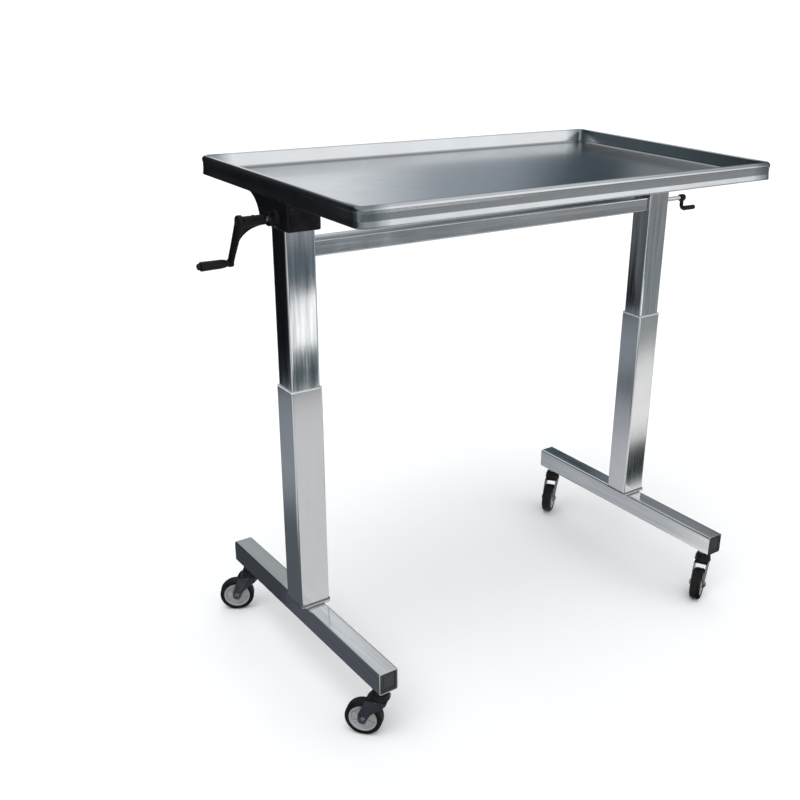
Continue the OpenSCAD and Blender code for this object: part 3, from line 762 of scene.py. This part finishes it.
def head(side, s):
    lo, hi = B(side + "_head")
    z0, z1 = itop, hi[2]
    parts = [slab(68 - 0.4, 90 - 0.4, 6, z0 + 0.2, z1 - 0.3, 2.2, 6, 4)]
    # a raised pad and a base flange, as castings have where they are machined
    parts.append(slab(68 - 0.2, 90 - 0.2, 7, z0 + 0.1, z0 + 8, 1.5, 6, 3))
    parts.append(slab(68 - 0.2, 90 - 0.2, 7, z1 - 7, z1 - 0.2, 1.2, 6, 3))
    for x in (-31, 31):
        poly = [(38.0, z0 + 5.5)] + [(112 - 50 * cos(radians(a)), z0 + 2 + 50 * sin(radians(a))) for a in np.linspace(5, 88, 20)] + [(145.6, z0 + 51.6), (145.6, z1 - 0.3), (38.0, z1 - 0.3)]
        V, F = extrude_x(poly, x - 2.9, x + 2.9)
        parts.append((V, F))
    # cheek bosses round the shaft bushes
    for x0, x1 in ((-33.8, -28), (28, 33.8)):
        V, F = lathe([(0, 0), (15, 0), (15, abs(x1 - x0)), (0, abs(x1 - x0))], 40)
        parts.append((mv(rot(V, "Y", 90), x0, 0, DZ), F))
    if s < 0:
        V, F = lathe([(0, 0), (16.5, 0), (14.6, 2.5), (13.4, 5), (13, 8), (12.9, 16), (12.2, 16.5), (0, 16.5)], 40)
        parts.append((mv(rot(V, "Y", -90), -33.5, 0, DZ), F))
    W = voxel(join(*parts), 1.15, 5)
    cut = [slab(56, 78, 2, z0 + 4.5, z1 - 6, 0.5, 3, 2)]
    V, F = lathe([(0, 0), (9.1, 0), (9.1, 130), (0, 130)], 40)
    cut.append((mv(rot(V, "Y", 90), -65, 0, DZ), F))
    V, F = lathe([(0, 0), (16.2, 0), (16.2, 14), (0, 14)], 40)
    cut.append((mv(V, 0, 0, z0 - 4), F))
    W = carve(W, cut)
    # spigot down into the column, with the bearing seat through it
    ring = loft([at_z(rr(55.8, 45.8, 2, 9), 905.2), at_z(rr(55.8, 45.8, 2, 9), z0 + 1.5), at_z(rr(35.6, 35.6, 17.79, 9), z0 + 1.5), at_z(rr(35.6, 35.6, 17.79, 9), 912), at_z(rr(21.4, 21.4, 10.69, 9), 911.5), at_z(rr(21.4, 21.4, 10.69, 9), 905.2)], ring=True)
    V, F = join(W, ring)
    return mv(V, s * CX), F


# painted shade: the left head casting and its cover take black paint and the right one grey zinc, though the two
# castings are alike; the left head's black stands in for shade
for side, s, mat, slot in (("left", -1, M_BLACK, "black_paint"), ("right", 1, M_HEAD, "head_grey")):
    stand(obj_from(side + "_head_casting", head(side, s), mat, 50, False), side + "_head")
    # cover on the front cheek and its four screws
    pts = []
    hz = (itop + B(side + "_head")[1][2]) / 2
    V, F = slab(56, 41, 4, 0, 2.2, 0.7, 5, 3)
    V = mv(rot(V, "X", 90), s * CX, -44.6, hz)
    pts.append((V, F))
    for x in (-23, 23):
        for z in (-15.5, 15.5):
            V, F = lathe([(0, 0), (3.2, 0), (3.2, 1.0), (2.6, 1.9), (1.3, 2.3), (1.2, 1.4), (0, 1.4)], 24)
            pts.append((mv(rot(V, "X", 90), s * CX + x, -46.6, hz + z), F))
    go_with(obj_from(side + "_head_cover", join(*pts), mat, 35), side + "_head")

# --------------------------------------------------------------------------
# crank
# --------------------------------------------------------------------------
pl, ph = B("crank_pin")
gl, gh = B("crank_grip")
GY, GZ = (gl[1] + gh[1]) / 2, (gl[2] + gh[2]) / 2
LEN = sqrt((GY - DY) ** 2 + (GZ - DZ) ** 2)
ARM_A = math.degrees(atan2(GY - DY, DZ - GZ))
AX = B("crank_arm")[0][0] + 5.0
SLV = B("crank_arm")[1][0] - AX


def arm_place(V):
    return mv(rot(V, "X", ARM_A), AX, DY, DZ)


parts = []
V, F = lathe([(0, 4), (8.6, 4), (9, 5), (9, SLV - 1), (8.4, SLV - 0.1), (0, SLV - 0.1)], 40)
parts.append((rot(V, "Y", 90), F))
V, F = lathe([(0, -4.9), (10.4, -4.9), (11.8, -3.2), (11.8, 3.2), (10.4, 4.9), (0, 4.9)], 40)
parts.append((rot(V, "Y", 90), F))
# tapered arm: elliptical sections, thinner at the pin
secs = []
for t in np.linspace(0, 1, 14):
    z = -LEN * t
    w = 23 * (1 - t) ** 1.6 + 14.6 * (1 - (1 - t) ** 1.6)
    d = 9.6 * (1 - t) + 8.6 * t
    secs.append(np.array([(d / 2 * np.sign(cos(a)) * abs(cos(a)) ** 0.6, w / 2 * np.sign(sin(a)) * abs(sin(a)) ** 0.6, z) for a in np.linspace(0, 2 * pi, 28, endpoint=False)]))
parts.append(loft(secs))
V, F = lathe([(0, -4.8), (6.4, -4.8), (7.4, -3.6), (7.4, 3.6), (6.4, 4.8), (0, 4.8)], 36)
parts.append((mv(rot(V, "Y", 90), 0, 0, -LEN), F))
# hollow-curved web between the sleeve and the arm
web = [(3, -5), (3, -50)] + [(46 - 40.5 * cos(radians(a)), -50 + 40.5 * sin(radians(a))) for a in np.linspace(4, 86, 16)] + [(44, -5)]
V, F = extrude_y(web, -3.9, 3.9)
parts.append((V, F))
W = voxel(join(*parts), 0.85, 5)
V, F = lathe([(0, -8), (6.05, -8), (6.05, SLV + 2), (0, SLV + 2)], 36)
c1 = (rot(V, "Y", 90), F)
V, F = lathe([(0, -8), (4.05, -8), (4.05, 8), (0, 8)], 28)
c2 = (mv(rot(V, "Y", 90), 0, 0, -LEN), F)
W = carve(W, [c1, c2])
stand(obj_from("crank_casting", (arm_place(W[0]), W[1]), M_BLACK, 50, False), "crank_arm")

# pin with a domed cap at the grip's end and a riveted head behind the arm
x1 = pl[0] - AX
cap = [(0, x1), (2.5, x1 + 0.15), (4.6, x1 + 0.9), (5.8, x1 + 2.2), (6.1, x1 + 3.2), (4, x1 + 3.4), (4, -4.9), (4.2, -4.9)]
prof = [(0, -x1), (2.5, -x1 - 0.12), (4.6, -x1 - 0.8), (5.7, -x1 - 1.9), (6.0, -x1 - 2.9), (4.0, -x1 - 3.1), (4.0, -4.8), (4.0, 5.2), (6.3, 5.3), (6.2, 6.2), (5.0, 7.6), (2.5, 8.2), (0, 8.35)]
V, F = lathe(prof, 40)
V = rot(V, "Y", 90)
V[:, 0] = -np.abs(0) + V[:, 0]
# profile runs from the grip's outer end (negative X) to the inner head (positive X side is the sleeve)
V2 = np.array(V)
V2[:, 0] = -V[:, 0]
stand(obj_from("crank_pin_turned", (arm_place(mv(V2, 0, 0, -LEN)), F), M_PIN), "crank_pin")
g0, g1 = -(gh[0] - AX), -(gl[0] - AX)
prof = [(4.1, g0)]
Lg = g1 - g0
for t in np.linspace(0, 1, 42):
    r = 6.9 + 1.3 * sin(pi * min(1, t / 0.30) / 2) + 0.55 * (t ** 2)
    for tc_ in (0.30, 0.38, 0.46, 0.54, 0.62, 0.70):
        r -= 0.32 * math.exp(-((t - tc_) / 0.012) ** 2)
    end = min(1, t / 0.035, (1 - t) / 0.05)
    r = r * (0.80 + 0.20 * sqrt(max(0, 1 - (1 - end) ** 2)))
    prof.append((min(r, 8.75), g0 + Lg * t))
prof.append((4.1, g1))
V, F = lathe(prof, 48, True)
V = rot(V, "Y", -90)
stand(obj_from("crank_handle_grip", (arm_place(mv(V, 0, 0, -LEN)), F), M_GRIP, 30), "crank_grip")

# cross shaft, chamfered at both ends
x0, x1 = slo[0], shi[0]
V, F = lathe([(0, x0), (5.2, x0), (6, x0 + 0.8), (6, x1 - 0.8), (5.2, x1), (0, x1)], 40)
V = np.c_[V[:, 2], V[:, 0] + DY, V[:, 1] + DZ]
stand(obj_from("drive_shaft_rod", (V, F), M_BRIGHT), "cross_shaft")

# --------------------------------------------------------------------------
# brake on the right column
# --------------------------------------------------------------------------
bl, bh = B("brake_boss")
BY, BZ = (bl[1] + bh[1]) / 2, (bl[2] + bh[2]) / 2
prof = [(5.1, 0.05), (14, 0.05), (14, 1.4), (12.6, 2.6), (11.3, 4.2), (11, 6), (11, 12.8), (10.2, bh[0] - bl[0]), (6, bh[0] - bl[0]), (5.1, bh[0] - bl[0] - 0.8)]
V, F = lathe(prof, 48, True)
stand(obj_from("brake_boss_turned", (mv(rot(V, "Y", 90), bl[0], BY, BZ), F), M_PLATE), "brake_boss")
ll, lh = B("brake_lever")
LX = B("brake_spindle")[1][0] - 4.0
DROP = BZ - (ll[2] + 5.5)
parts = []
V, F = lathe([(0, -8), (7.2, -8), (8, -7.2), (8, 4.6), (7, 6), (0, 6)], 40)
parts.append((mv(rot(V, "Y", 90), LX, BY, BZ), F))
path = [(LX, BY, BZ - 2), (LX, BY, BZ - 8), (LX, BY, BZ - DROP + 12)]
path += [(LX + 10 - 10 * cos(radians(a)), BY, BZ - DROP + 10 - 10 * sin(radians(a))) for a in range(10, 91, 10)]
path += [(LX + 20, BY, BZ - DROP), (LX + 34, BY, BZ - DROP)]
parts.append(sweep(path, 4.4, 20))
W = voxel(join(*parts), 0.7, 4)
V, F = lathe([(0, -9), (5.05, -9), (5.05, 3.9), (0, 3.9)], 30)
W = carve(W, [(mv(rot(V, "Y", 90), LX, BY, BZ), F)])
xe = lh[0] - LX
g = [(0, 9), (4.6, 9), (5.4, 10), (5.5, 14)]
g += [(5.5 - (0.35 if i % 2 else 0), 16 + 2.0 * i) for i in range(10)]
g += [(5.5, xe - 5), (5.0, xe - 1.6), (3.4, xe - 0.4), (0, xe)]
V, F = lathe(g, 40)
grip = (mv(rot(V, "Y", 90), LX, BY, BZ - DROP), F)
stand(obj_from("brake_lever_cranked", join(W, grip), M_BLACK, 40), "brake_lever")
sl, sh = B("brake_spindle")
V, F = lathe([(0, sl[0]), (5, sl[0]), (5, sh[0] - 1.2), (4, sh[0]), (0, sh[0])], 36)
V = np.c_[V[:, 2], V[:, 0] + BY, V[:, 1] + BZ]
stand(obj_from("brake_spindle_rod", (V, F), M_BRIGHT), "brake_spindle")

# --------------------------------------------------------------------------
# castors
# --------------------------------------------------------------------------
RIM_Z = 37.5


def fork_shape(trail):
    """Pressed fork in its own frame: stem on the Z axis, axle at x = trail."""
    out = [(-17, 86.6), (23, 86.6), (29, 79), (33, 70), (trail + 9, 46), (trail + 9, RIM_Z)]
    out += [(trail + 9 * cos(radians(a)), RIM_Z + 9 * sin(radians(a))) for a in range(-15, -180, -15)]
    out += [(trail - 9, RIM_Z), (16, 52), (2, 63), (-8, 71), (-15, 79)]
    parts = []
    for y0, y1 in ((13.6, 15.9), (-15.9, -13.6)):
        parts.append(extrude_y(out, y0, y1))
    V, F = slab(40, 31.8, 4, 84.2, 86.8, 0.8, 5, 3)
    parts.append((mv(V, 3), F))
    # pressed ridge down the middle of each leg
    for s in (-1, 1):
        path = [(6, s * 15.3, 82), (14, s * 15.5, 68), (22, s * 15.5, 56), (27, s * 15.2, 48)]
        parts.append(sweep(path, 1.5, 10))
    W = voxel(join(*parts), 0.72, 4, 0.55)
    # bore for the stem
    W = carve(W, [lathe([(0, 82), (6.2, 82), (6.2, 89), (0, 89)], 56)])
    V, F = lathe([(6.2, 86.3), (18.6, 86.3), (19, 87), (19, 89.5), (18.4, 91), (17.6, 91.6), (17.6, 92.3), (18.3, 92.9), (18.3, 96.5), (17.2, 98.6), (15.5, 99.2), (6.2, 99.2)], 56, True)
    return join(W, (V, F))


def wheel_hub():
    prof = [(4.1, -13.1), (8.4, -13.1), (9, -12.4), (9.2, -7), (10.4, -5.9), (21.5, -4.9), (23.2, -5.6), (25.2, -10.0), (26.2, -10.5), (28.45, -10.5), (28.45, 10.5), (26.2, 10.5), (25.2, 10.0), (23.2, 5.6), (21.5, 4.9), (10.4, 5.9), (9.2, 7), (9, 12.4), (8.4, 13.1), (4.1, 13.1)]
    parts = [lathe(prof, 72, True)]
    for k in range(6):
        for s in (-1, 1):
            V, F = slab(15.0, 2.4, 1.0, 0, 4.4, 0.8, 3, 2)
            V = mv(V, 16.2, 0, 4.6)
            if s < 0:
                V[:, 2] *= -1
            parts.append((rot(V, "Z", 60 * k + (30 if s < 0 else 0)), F))
    return join(*parts)


def tyre():
    prof = [(28.5, -11.4), (29.4, -12)]
    prof += [(31.0, -12.0), (31.4, -11.75), (31.9, -12.0)]
    prof += [(32.5 + 5 * sin(radians(a)), -7 - 5 * cos(radians(a))) for a in range(10, 91, 16)]
    prof += [(37.5, -4.0), (37.45, -1.0), (37.15, -0.7), (37.15, 0.7), (37.45, 1.0), (37.5, 4.0)]
    prof += [(32.5 + 5 * cos(radians(a)), 7 + 5 * sin(radians(a))) for a in range(0, 81, 16)]
    prof += [(31.9, 12.0), (31.4, 11.75), (31.0, 12.0), (29.4, 12), (28.5, 11.4)]
    return lathe(prof, 112, True)


def axle_bolt():
    parts = [lathe([(0, -16.6), (4, -16.6), (4, 16.4), (0, 16.4)], 28)]
    parts.append(lathe([(0, 16.0), (8.2, 16.0), (8.2, 16.9), (7.9, 17.1), (0, 17.1)], 36))
    parts.append(hexa(6.0, 17.0, 19.3))
    parts.append(lathe([(0, -17.0), (8.2, -17.0), (8.2, -16.1), (0, -16.1)], 36))
    V, F = hexa(6.0, 17.0, 19.0)
    V[:, 2] *= -1
    parts.append((V, F))
    V, F = lathe([(0, 18.9), (4.2, 18.9), (4.0, 19.7), (3.2, 19.95), (0, 19.95)], 24)
    V[:, 2] *= -1
    parts.append((V, F))
    return join(*parts)


FORK = None
HUB, TYRE, BOLT = wheel_hub(), tyre(), axle_bolt()
for side, s in (("left", -1), ("right", 1)):
    stl, sth = B(side + "_castor_stems")
    for end, e in (("front", -1), ("rear", 1)):
        tag = side + "_" + end
        sx, sy = (stl[0] + sth[0]) / 2, (stl[1] + 16 if e < 0 else sth[1] - 16)
        wl, wh = B("tyre_" + tag)
        ax_, ay_ = (wl[0] + wh[0]) / 2, (wl[1] + wh[1]) / 2
        trail = sqrt((ax_ - sx) ** 2 + (ay_ - sy) ** 2)
        head_deg = math.degrees(atan2(ay_ - sy, ax_ - sx))
        if FORK is None:
            FORK = fork_shape(trail)

        def put(VF, axle=False):
            V = np.array(VF[0], float)
            if axle:
                V = mv(rot(V, "X", 90), trail, 0, RIM_Z)
            return mv(rot(V, "Z", head_deg), sx, sy), VF[1]
        fo = obj_from("fork_pressed_" + tag, put(FORK), M_FORK, 40)
        fo.data.materials.append(M_COLLAR)
        for p in fo.data.polygons:
            if p.center.z > 0.0838:
                p.material_index = 1
        stand(fo, "fork_" + tag)
        stand(obj_from("axle_bolt_" + tag, put(BOLT, True), M_AXLE), "axle_" + tag)
        stand(obj_from("tread_" + tag, put(TYRE, True), M_RUBBER, 28), "tyre_" + tag)
        stand(obj_from("wheel_centre_" + tag, put(HUB, True), M_HUB, 35), "hub_" + tag)
    # stems: threaded stem, dust dome, hexagon
    nuts, domes = [], []
    beam_z = B(side + "_foot_beam")[0][2]
    for y in (stl[1] + 16, sth[1] - 16):
        V, F = lathe([(0, 78.2), (6.5, 78.2), (8.6, 79.6), (9, 81.5), (9, 84), (6, 84), (6, sth[2] - 1), (5, sth[2]), (0, sth[2])], 40)
        nuts.append((mv(V, (stl[0] + sth[0]) / 2, y), F))
        V, F = hexa(9.5, 105.6, beam_z - 0.02)
        nuts.append((mv(V, (stl[0] + sth[0]) / 2, y), F))
        V, F = hexa(9.2, beam_z + 2.6, beam_z + 10.4)
        nuts.append((mv(V, (stl[0] + sth[0]) / 2, y), F))
        V, F = lathe([(6.1, 99.55), (15.6, 99.55), (16, 100.1), (16, 101.6), (15.4, 103.3), (13.9, 104.9), (11.8, 105.8), (10.4, 106.0), (6.1, 106.0)], 56, True)
        domes.append((mv(V, (stl[0] + sth[0]) / 2, y), F))
    stand(obj_from(side + "_stem_nuts", join(*nuts), M_ZINC), side + "_castor_stems")
    go_with(obj_from(side + "_stem_domes", join(*domes), M_COLLAR), side + "_castor_stems")

# --------------------------------------------------------------------------
# inner pieces that keep their CAD shape
# --------------------------------------------------------------------------
KEEP = {
    "column_sliders": M_PLASTIC, "screw_bearings": M_GEAR, "shaft_bushes": M_BUSH, "drive_pinions": M_GEAR, "crank_set_screw": M_PLASTIC,
    "left_lead_screw": M_THREAD, "right_lead_screw": M_THREAD, "left_bevel_gear": M_GEAR, "right_bevel_gear": M_GEAR, "brake_pad": M_PLASTIC,
    "left_nut_post": M_POST, "right_nut_post": M_POST, "left_lead_nut": M_BRONZE, "right_lead_nut": M_BRONZE,
}
for n, o in frame["nodes"].items():
    if n in KEEP:
        if not o.material_slots:
            o.data.materials.append(KEEP[n])
        for slot in o.material_slots:
            slot.material = KEEP[n]

# --------------------------------------------------------------------------
# stage: pale floor, soft studio light, camera
# --------------------------------------------------------------------------
scene = bpy.context.scene
scene.view_settings.view_transform = "Standard"
scene.view_settings.look = "None"

fm = Mat("floor_pale")
fn = fm.noise(fm.vec((3, 3, 3)), 1, 4, 0.5)
fm.out(fm.mix(fn, (0.93, 0.93, 0.928), (0.95, 0.95, 0.948)), fm.rng(fn, 0.3, 0.7, 0.75, 0.9), fm.bump(fm.noise(fm.vec((300, 300, 300)), 1, 2, 0.5), 1e-5), 0.0, spec=0.0)
bm = bmesh.new()
bmesh.ops.create_circle(bm, cap_ends=True, radius=120, segments=96)
me = bpy.data.meshes.new("floor")
bm.to_mesh(me)
bm.free()
floor = bpy.data.objects.new("floor", me)
me.materials.append(fm.m)
scene.collection.objects.link(floor)
floor.visible_glossy = False


# a soft studio card lying just above the floor, seen only in the gloss of the steel
def card():
    m = bpy.data.materials.new("studio_card")
    m.use_nodes = True
    nt = m.node_tree
    nt.nodes.clear()
    N = nt.nodes.new
    out = N("ShaderNodeOutputMaterial")
    em = N("ShaderNodeEmission")
    nt.links.new(em.outputs[0], out.inputs["Surface"])
    tc = N("ShaderNodeTexCoord")
    sep = N("ShaderNodeSeparateXYZ")
    nt.links.new(tc.outputs["Object"], sep.inputs[0])

    def mth(op, a, b=None):
        n = N("ShaderNodeMath")
        n.operation = op
        for i, x in enumerate((a, b)):
            if x is None:
                continue
            if isinstance(x, (int, float)):
                n.inputs[i].default_value = x
            else:
                nt.links.new(x, n.inputs[i])
        return n.outputs[0]

    def ramp(fac, stops, interp="LINEAR"):
        n = N("ShaderNodeValToRGB")
        n.color_ramp.interpolation = interp
        cr = n.color_ramp.elements
        while len(cr) > 1:
            cr.remove(cr[-1])
        cr[0].position, cr[0].color = stops[0][0], (*stops[0][1], 1)
        for p, c in stops[1:]:
            e = cr.new(p)
            e.color = (*c, 1)
        nt.links.new(fac, n.inputs[0])
        return n.outputs[0]
    x, y = sep.outputs[0], sep.outputs[1]
    nz = N("ShaderNodeTexNoise")
    mp = N("ShaderNodeMapping")
    mp.inputs["Scale"].default_value = (16, 1.1, 1)
    nt.links.new(tc.outputs["Object"], mp.inputs["Vector"])
    nt.links.new(mp.outputs[0], nz.inputs["Vector"])
    nz.inputs["Scale"].default_value = 1.0
    nz.inputs["Detail"].default_value = 3

    def step(v, a, b):
        n = N("ShaderNodeMapRange")
        n.interpolation_type = "SMOOTHSTEP"
        n.inputs["From Min"].default_value = a
        n.inputs["From Max"].default_value = b
        nt.links.new(v, n.inputs["Value"])
        return n.outputs[0]

    def mixc(f, a, b):
        n = N("ShaderNodeMix")
        n.data_type = "RGBA"
        nt.links.new(f, n.inputs["Factor"])
        for sock, c in zip([i for i in n.inputs if i.type == "RGBA"], (a, b)):
            if isinstance(c, tuple):
                sock.default_value = (*c, 1)
            else:
                nt.links.new(c, sock)
        return next(o for o in n.outputs if o.type == "RGBA")
    jit = mth("MULTIPLY", mth("SUBTRACT", nz.outputs["Fac"], 0.5), 0.30)
    d = mth("SQRT", mth("ADD", mth("MULTIPLY", x, x), mth("MULTIPLY", y, y)))
    # behind the object: pale near it, dark flags beyond on the left
    qb = mth("DIVIDE", x, mth("MAXIMUM", y, 0.05))
    far = mixc(step(qb, -0.86, -0.80), (0.13, 0.14, 0.15), (0.006, 0.007, 0.009))
    far = mixc(step(qb, -0.40, -0.10), far, (0.34, 0.36, 0.38))
    back = mixc(step(d, 1.84, 2.0), ramp(mth("DIVIDE", d, 2.0), CARD_BACK), far)
    # in front of it: two runs of soft panels
    fy = mth("DIVIDE", mth("ADD", mth("MULTIPLY", y, -1.0), jit), 5.0)
    qf = mth("DIVIDE", x, mth("MAXIMUM", mth("MULTIPLY", y, -1.0), 0.05))
    front = mixc(step(qf, 0.58, 0.82), ramp(fy, CARD_FRONT_L), ramp(mth("DIVIDE", mth("MULTIPLY", y, -1.0), 5.0), CARD_FRONT_R))
    o = mixc(step(y, -0.22, 0.05), front, back)
    side = mth("MULTIPLY", step(mth("MULTIPLY", x, -1.0), 0.34, 0.44), mth("SUBTRACT", 1.0, step(d, 0.95, 1.25)))
    o = mixc(side, o, (0.10, 0.11, 0.13))
    nt.links.new(o, em.inputs["Color"])
    em.inputs["Strength"].default_value = 1.0
    bm = bmesh.new()
    bmesh.ops.create_grid(bm, x_segments=1, y_segments=1, size=14.0)
    me = bpy.data.meshes.new("studio_card")
    bm.to_mesh(me)
    bm.free()
    ob = bpy.data.objects.new("studio_card", me)
    me.materials.append(m)
    ob.location = (0, 0, 0.0012)
    ob.visible_camera = ob.visible_diffuse = ob.visible_shadow = ob.visible_transmission = ob.visible_volume_scatter = False
    ob.visible_glossy = True
    scene.collection.objects.link(ob)


CARD_BACK = [(0.0, (0.62, 0.63, 0.65)), (0.22, (0.52, 0.54, 0.57)), (0.40, (0.30, 0.33, 0.37)), (0.92, (0.24, 0.27, 0.31))]
CARD_FRONT_L = [(0.0, (0.71, 0.71, 0.715)), (0.296, (0.70, 0.70, 0.705)), (0.304, (0.045, 0.085, 0.10)), (0.372, (0.06, 0.095, 0.11)), (0.384, (1.28, 1.28, 1.28)), (0.512, (1.28, 1.28, 1.28)),
                (0.528, (0.085, 0.12, 0.145)), (0.660, (0.115, 0.15, 0.175)), (0.74, (0.30, 0.32, 0.34)), (1.0, (0.36, 0.37, 0.38))]
CARD_FRONT_R = [(0.0, (1.0, 1.0, 1.0)), (0.057, (1.0, 1.0, 1.0)), (0.060, (0.004, 0.014, 0.018)), (0.102, (0.004, 0.014, 0.018)), (0.105, (1.0, 1.0, 1.0)), (0.222, (1.0, 1.0, 1.0)),
                (0.232, (0.30, 0.32, 0.33)), (0.40, (0.24, 0.27, 0.29)), (0.66, (0.30, 0.31, 0.32)), (0.76, (0.34, 0.35, 0.36)), (1.0, (0.38, 0.39, 0.40))]
card()

# world: a plain pale backdrop for the camera, a soft studio room for light and gloss
w = bpy.data.worlds.new("studio")
scene.world = w
w.use_nodes = True
nt = w.node_tree
nt.nodes.clear()
N = nt.nodes.new
out = N("ShaderNodeOutputWorld")
tc = N("ShaderNodeTexCoord")
sep = N("ShaderNodeSeparateXYZ")
nt.links.new(tc.outputs["Generated"], sep.inputs[0])


def wm(op, a, b=None):
    n = N("ShaderNodeMath")
    n.operation = op
    for i, x in enumerate((a, b)):
        if x is None:
            continue
        if isinstance(x, (int, float)):
            n.inputs[i].default_value = x
        else:
            nt.links.new(x, n.inputs[i])
    return n.outputs[0]


def wramp(fac, stops):
    n = N("ShaderNodeValToRGB")
    cr = n.color_ramp.elements
    while len(cr) > 1:
        cr.remove(cr[-1])
    cr[0].position, cr[0].color = stops[0][0], (*stops[0][1], 1)
    for p, c in stops[1:]:
        e = cr.new(p)
        e.color = (*c, 1)
    nt.links.new(fac, n.inputs[0])
    return n.outputs[0]


def az(deg):
    return (deg + 180.0) / 360.0


azim = wm("ADD", wm("DIVIDE", wm("ARCTAN2", sep.outputs[0], sep.outputs[1]), 2 * pi), 0.5)
WORLD_LOW = [(az(-180), (1.15, 1.17, 1.18)), (az(-130), (0.80, 0.82, 0.83)), (az(-98), (0.30, 0.31, 0.33)), (az(-84), (0.015, 0.018, 0.02)), (az(-52), (0.012, 0.014, 0.016)), (az(-47), (0.085, 0.12, 0.135)), (az(-42), (0.10, 0.125, 0.14)),
             (az(-36), (0.02, 0.022, 0.025)), (az(9), (0.02, 0.022, 0.025)), (az(17), (0.92, 0.95, 0.97)), (az(30), (0.86, 0.90, 0.93)), (az(35), (0.35, 0.39, 0.43)), (az(39.5), (0.26, 0.30, 0.34)), (az(42.5), (0.05, 0.075, 0.09)), (az(45.6), (0.05, 0.075, 0.09)), (az(46.6), (0.26, 0.28, 0.30)), (az(52), (0.23, 0.25, 0.27)), (az(55), (0.06, 0.08, 0.09)),
             (az(105), (0.05, 0.06, 0.07)), (az(122), (0.40, 0.42, 0.44)), (az(130), (1.30, 1.31, 1.32)), (az(180), (1.15, 1.17, 1.18))]
low = wramp(azim, WORLD_LOW)
elev = wm("DIVIDE", wm("ARCSINE", sep.outputs[2]), pi / 2)
mask = wramp(elev, [(0.0, (0, 0, 0)), (0.30, (0, 0, 0)), (0.50, (1, 1, 1)), (1.0, (1, 1, 1))])
mx = N("ShaderNodeMix")
mx.data_type = "RGBA"
nt.links.new(mask, mx.inputs["Factor"])
ins = [i for i in mx.inputs if i.type == "RGBA"]
nt.links.new(low, ins[0])
ins[1].default_value = (0.80, 0.82, 0.84, 1)
room = next(o for o in mx.outputs if o.type == "RGBA")
bg1, bg2 = N("ShaderNodeBackground"), N("ShaderNodeBackground")
nt.links.new(room, bg1.inputs["Color"])
bg1.inputs["Strength"].default_value = 1.0
bg2.inputs["Color"].default_value = (1.0, 1.0, 1.0, 1)
lp = N("ShaderNodeLightPath")
ms = N("ShaderNodeMixShader")
nt.links.new(lp.outputs["Is Camera Ray"], ms.inputs[0])
nt.links.new(bg1.outputs[0], ms.inputs[1])
nt.links.new(bg2.outputs[0], ms.inputs[2])
nt.links.new(ms.outputs[0], out.inputs["Surface"])


def sun(name, az_deg, el_deg, strength, angle, gloss=False, colour=(1, 1, 1)):
    l = bpy.data.lights.new(name, "SUN")
    l.energy = strength
    l.angle = radians(angle)
    l.color = colour
    o = bpy.data.objects.new(name, l)
    a, e = radians(az_deg), radians(el_deg)
    d = Vector((sin(a) * cos(e), cos(a) * cos(e), sin(e)))
    o.rotation_euler = d.to_track_quat("Z", "Y").to_euler()
    o.location = d * 6
    o.visible_glossy = gloss
    scene.collection.objects.link(o)
    return o


sun("key_soft", -120, 62, 1.25, 55)
sun("fill_soft", 60, 70, 0.55, 75)

# camera at the photograph's viewpoint
F_PX, PPX, PPY = 1039.7, 487.0, 430.0
YAW, PITCH, ROLL = radians(-38.52), radians(23.08), radians(1.97)
POS = (-1324.0, -1662.0, 1340.0)
d = np.array([-sin(YAW) * cos(PITCH), cos(YAW) * cos(PITCH), -sin(PITCH)])
right = np.array([cos(YAW), sin(YAW), 0])
up = np.cross(right, d)
r2 = right * cos(ROLL) + up * sin(ROLL)
u2 = -right * sin(ROLL) + up * cos(ROLL)
cam = bpy.data.cameras.new("camera")
co = bpy.data.objects.new("camera", cam)
scene.collection.objects.link(co)
cam.sensor_fit = "HORIZONTAL"
cam.sensor_width = 36
cam.lens = F_PX / 800 * 36
cam.shift_x = (400 - PPX) / 800
cam.shift_y = (PPY - 400) / 800
cam.clip_start, cam.clip_end = 0.05, 400
cam.dof.use_dof = False
mw = Matrix.Identity(4)
for i, c in enumerate((r2, u2, -d)):
    for j in range(3):
        mw[j][i] = c[j]
for j, v in enumerate((POS[0] / 1000 + OX, POS[1] / 1000 + OY, POS[2] / 1000)):
    mw[j][3] = v
co.matrix_world = mw
scene.camera = co

bpy.context.view_layer.update()
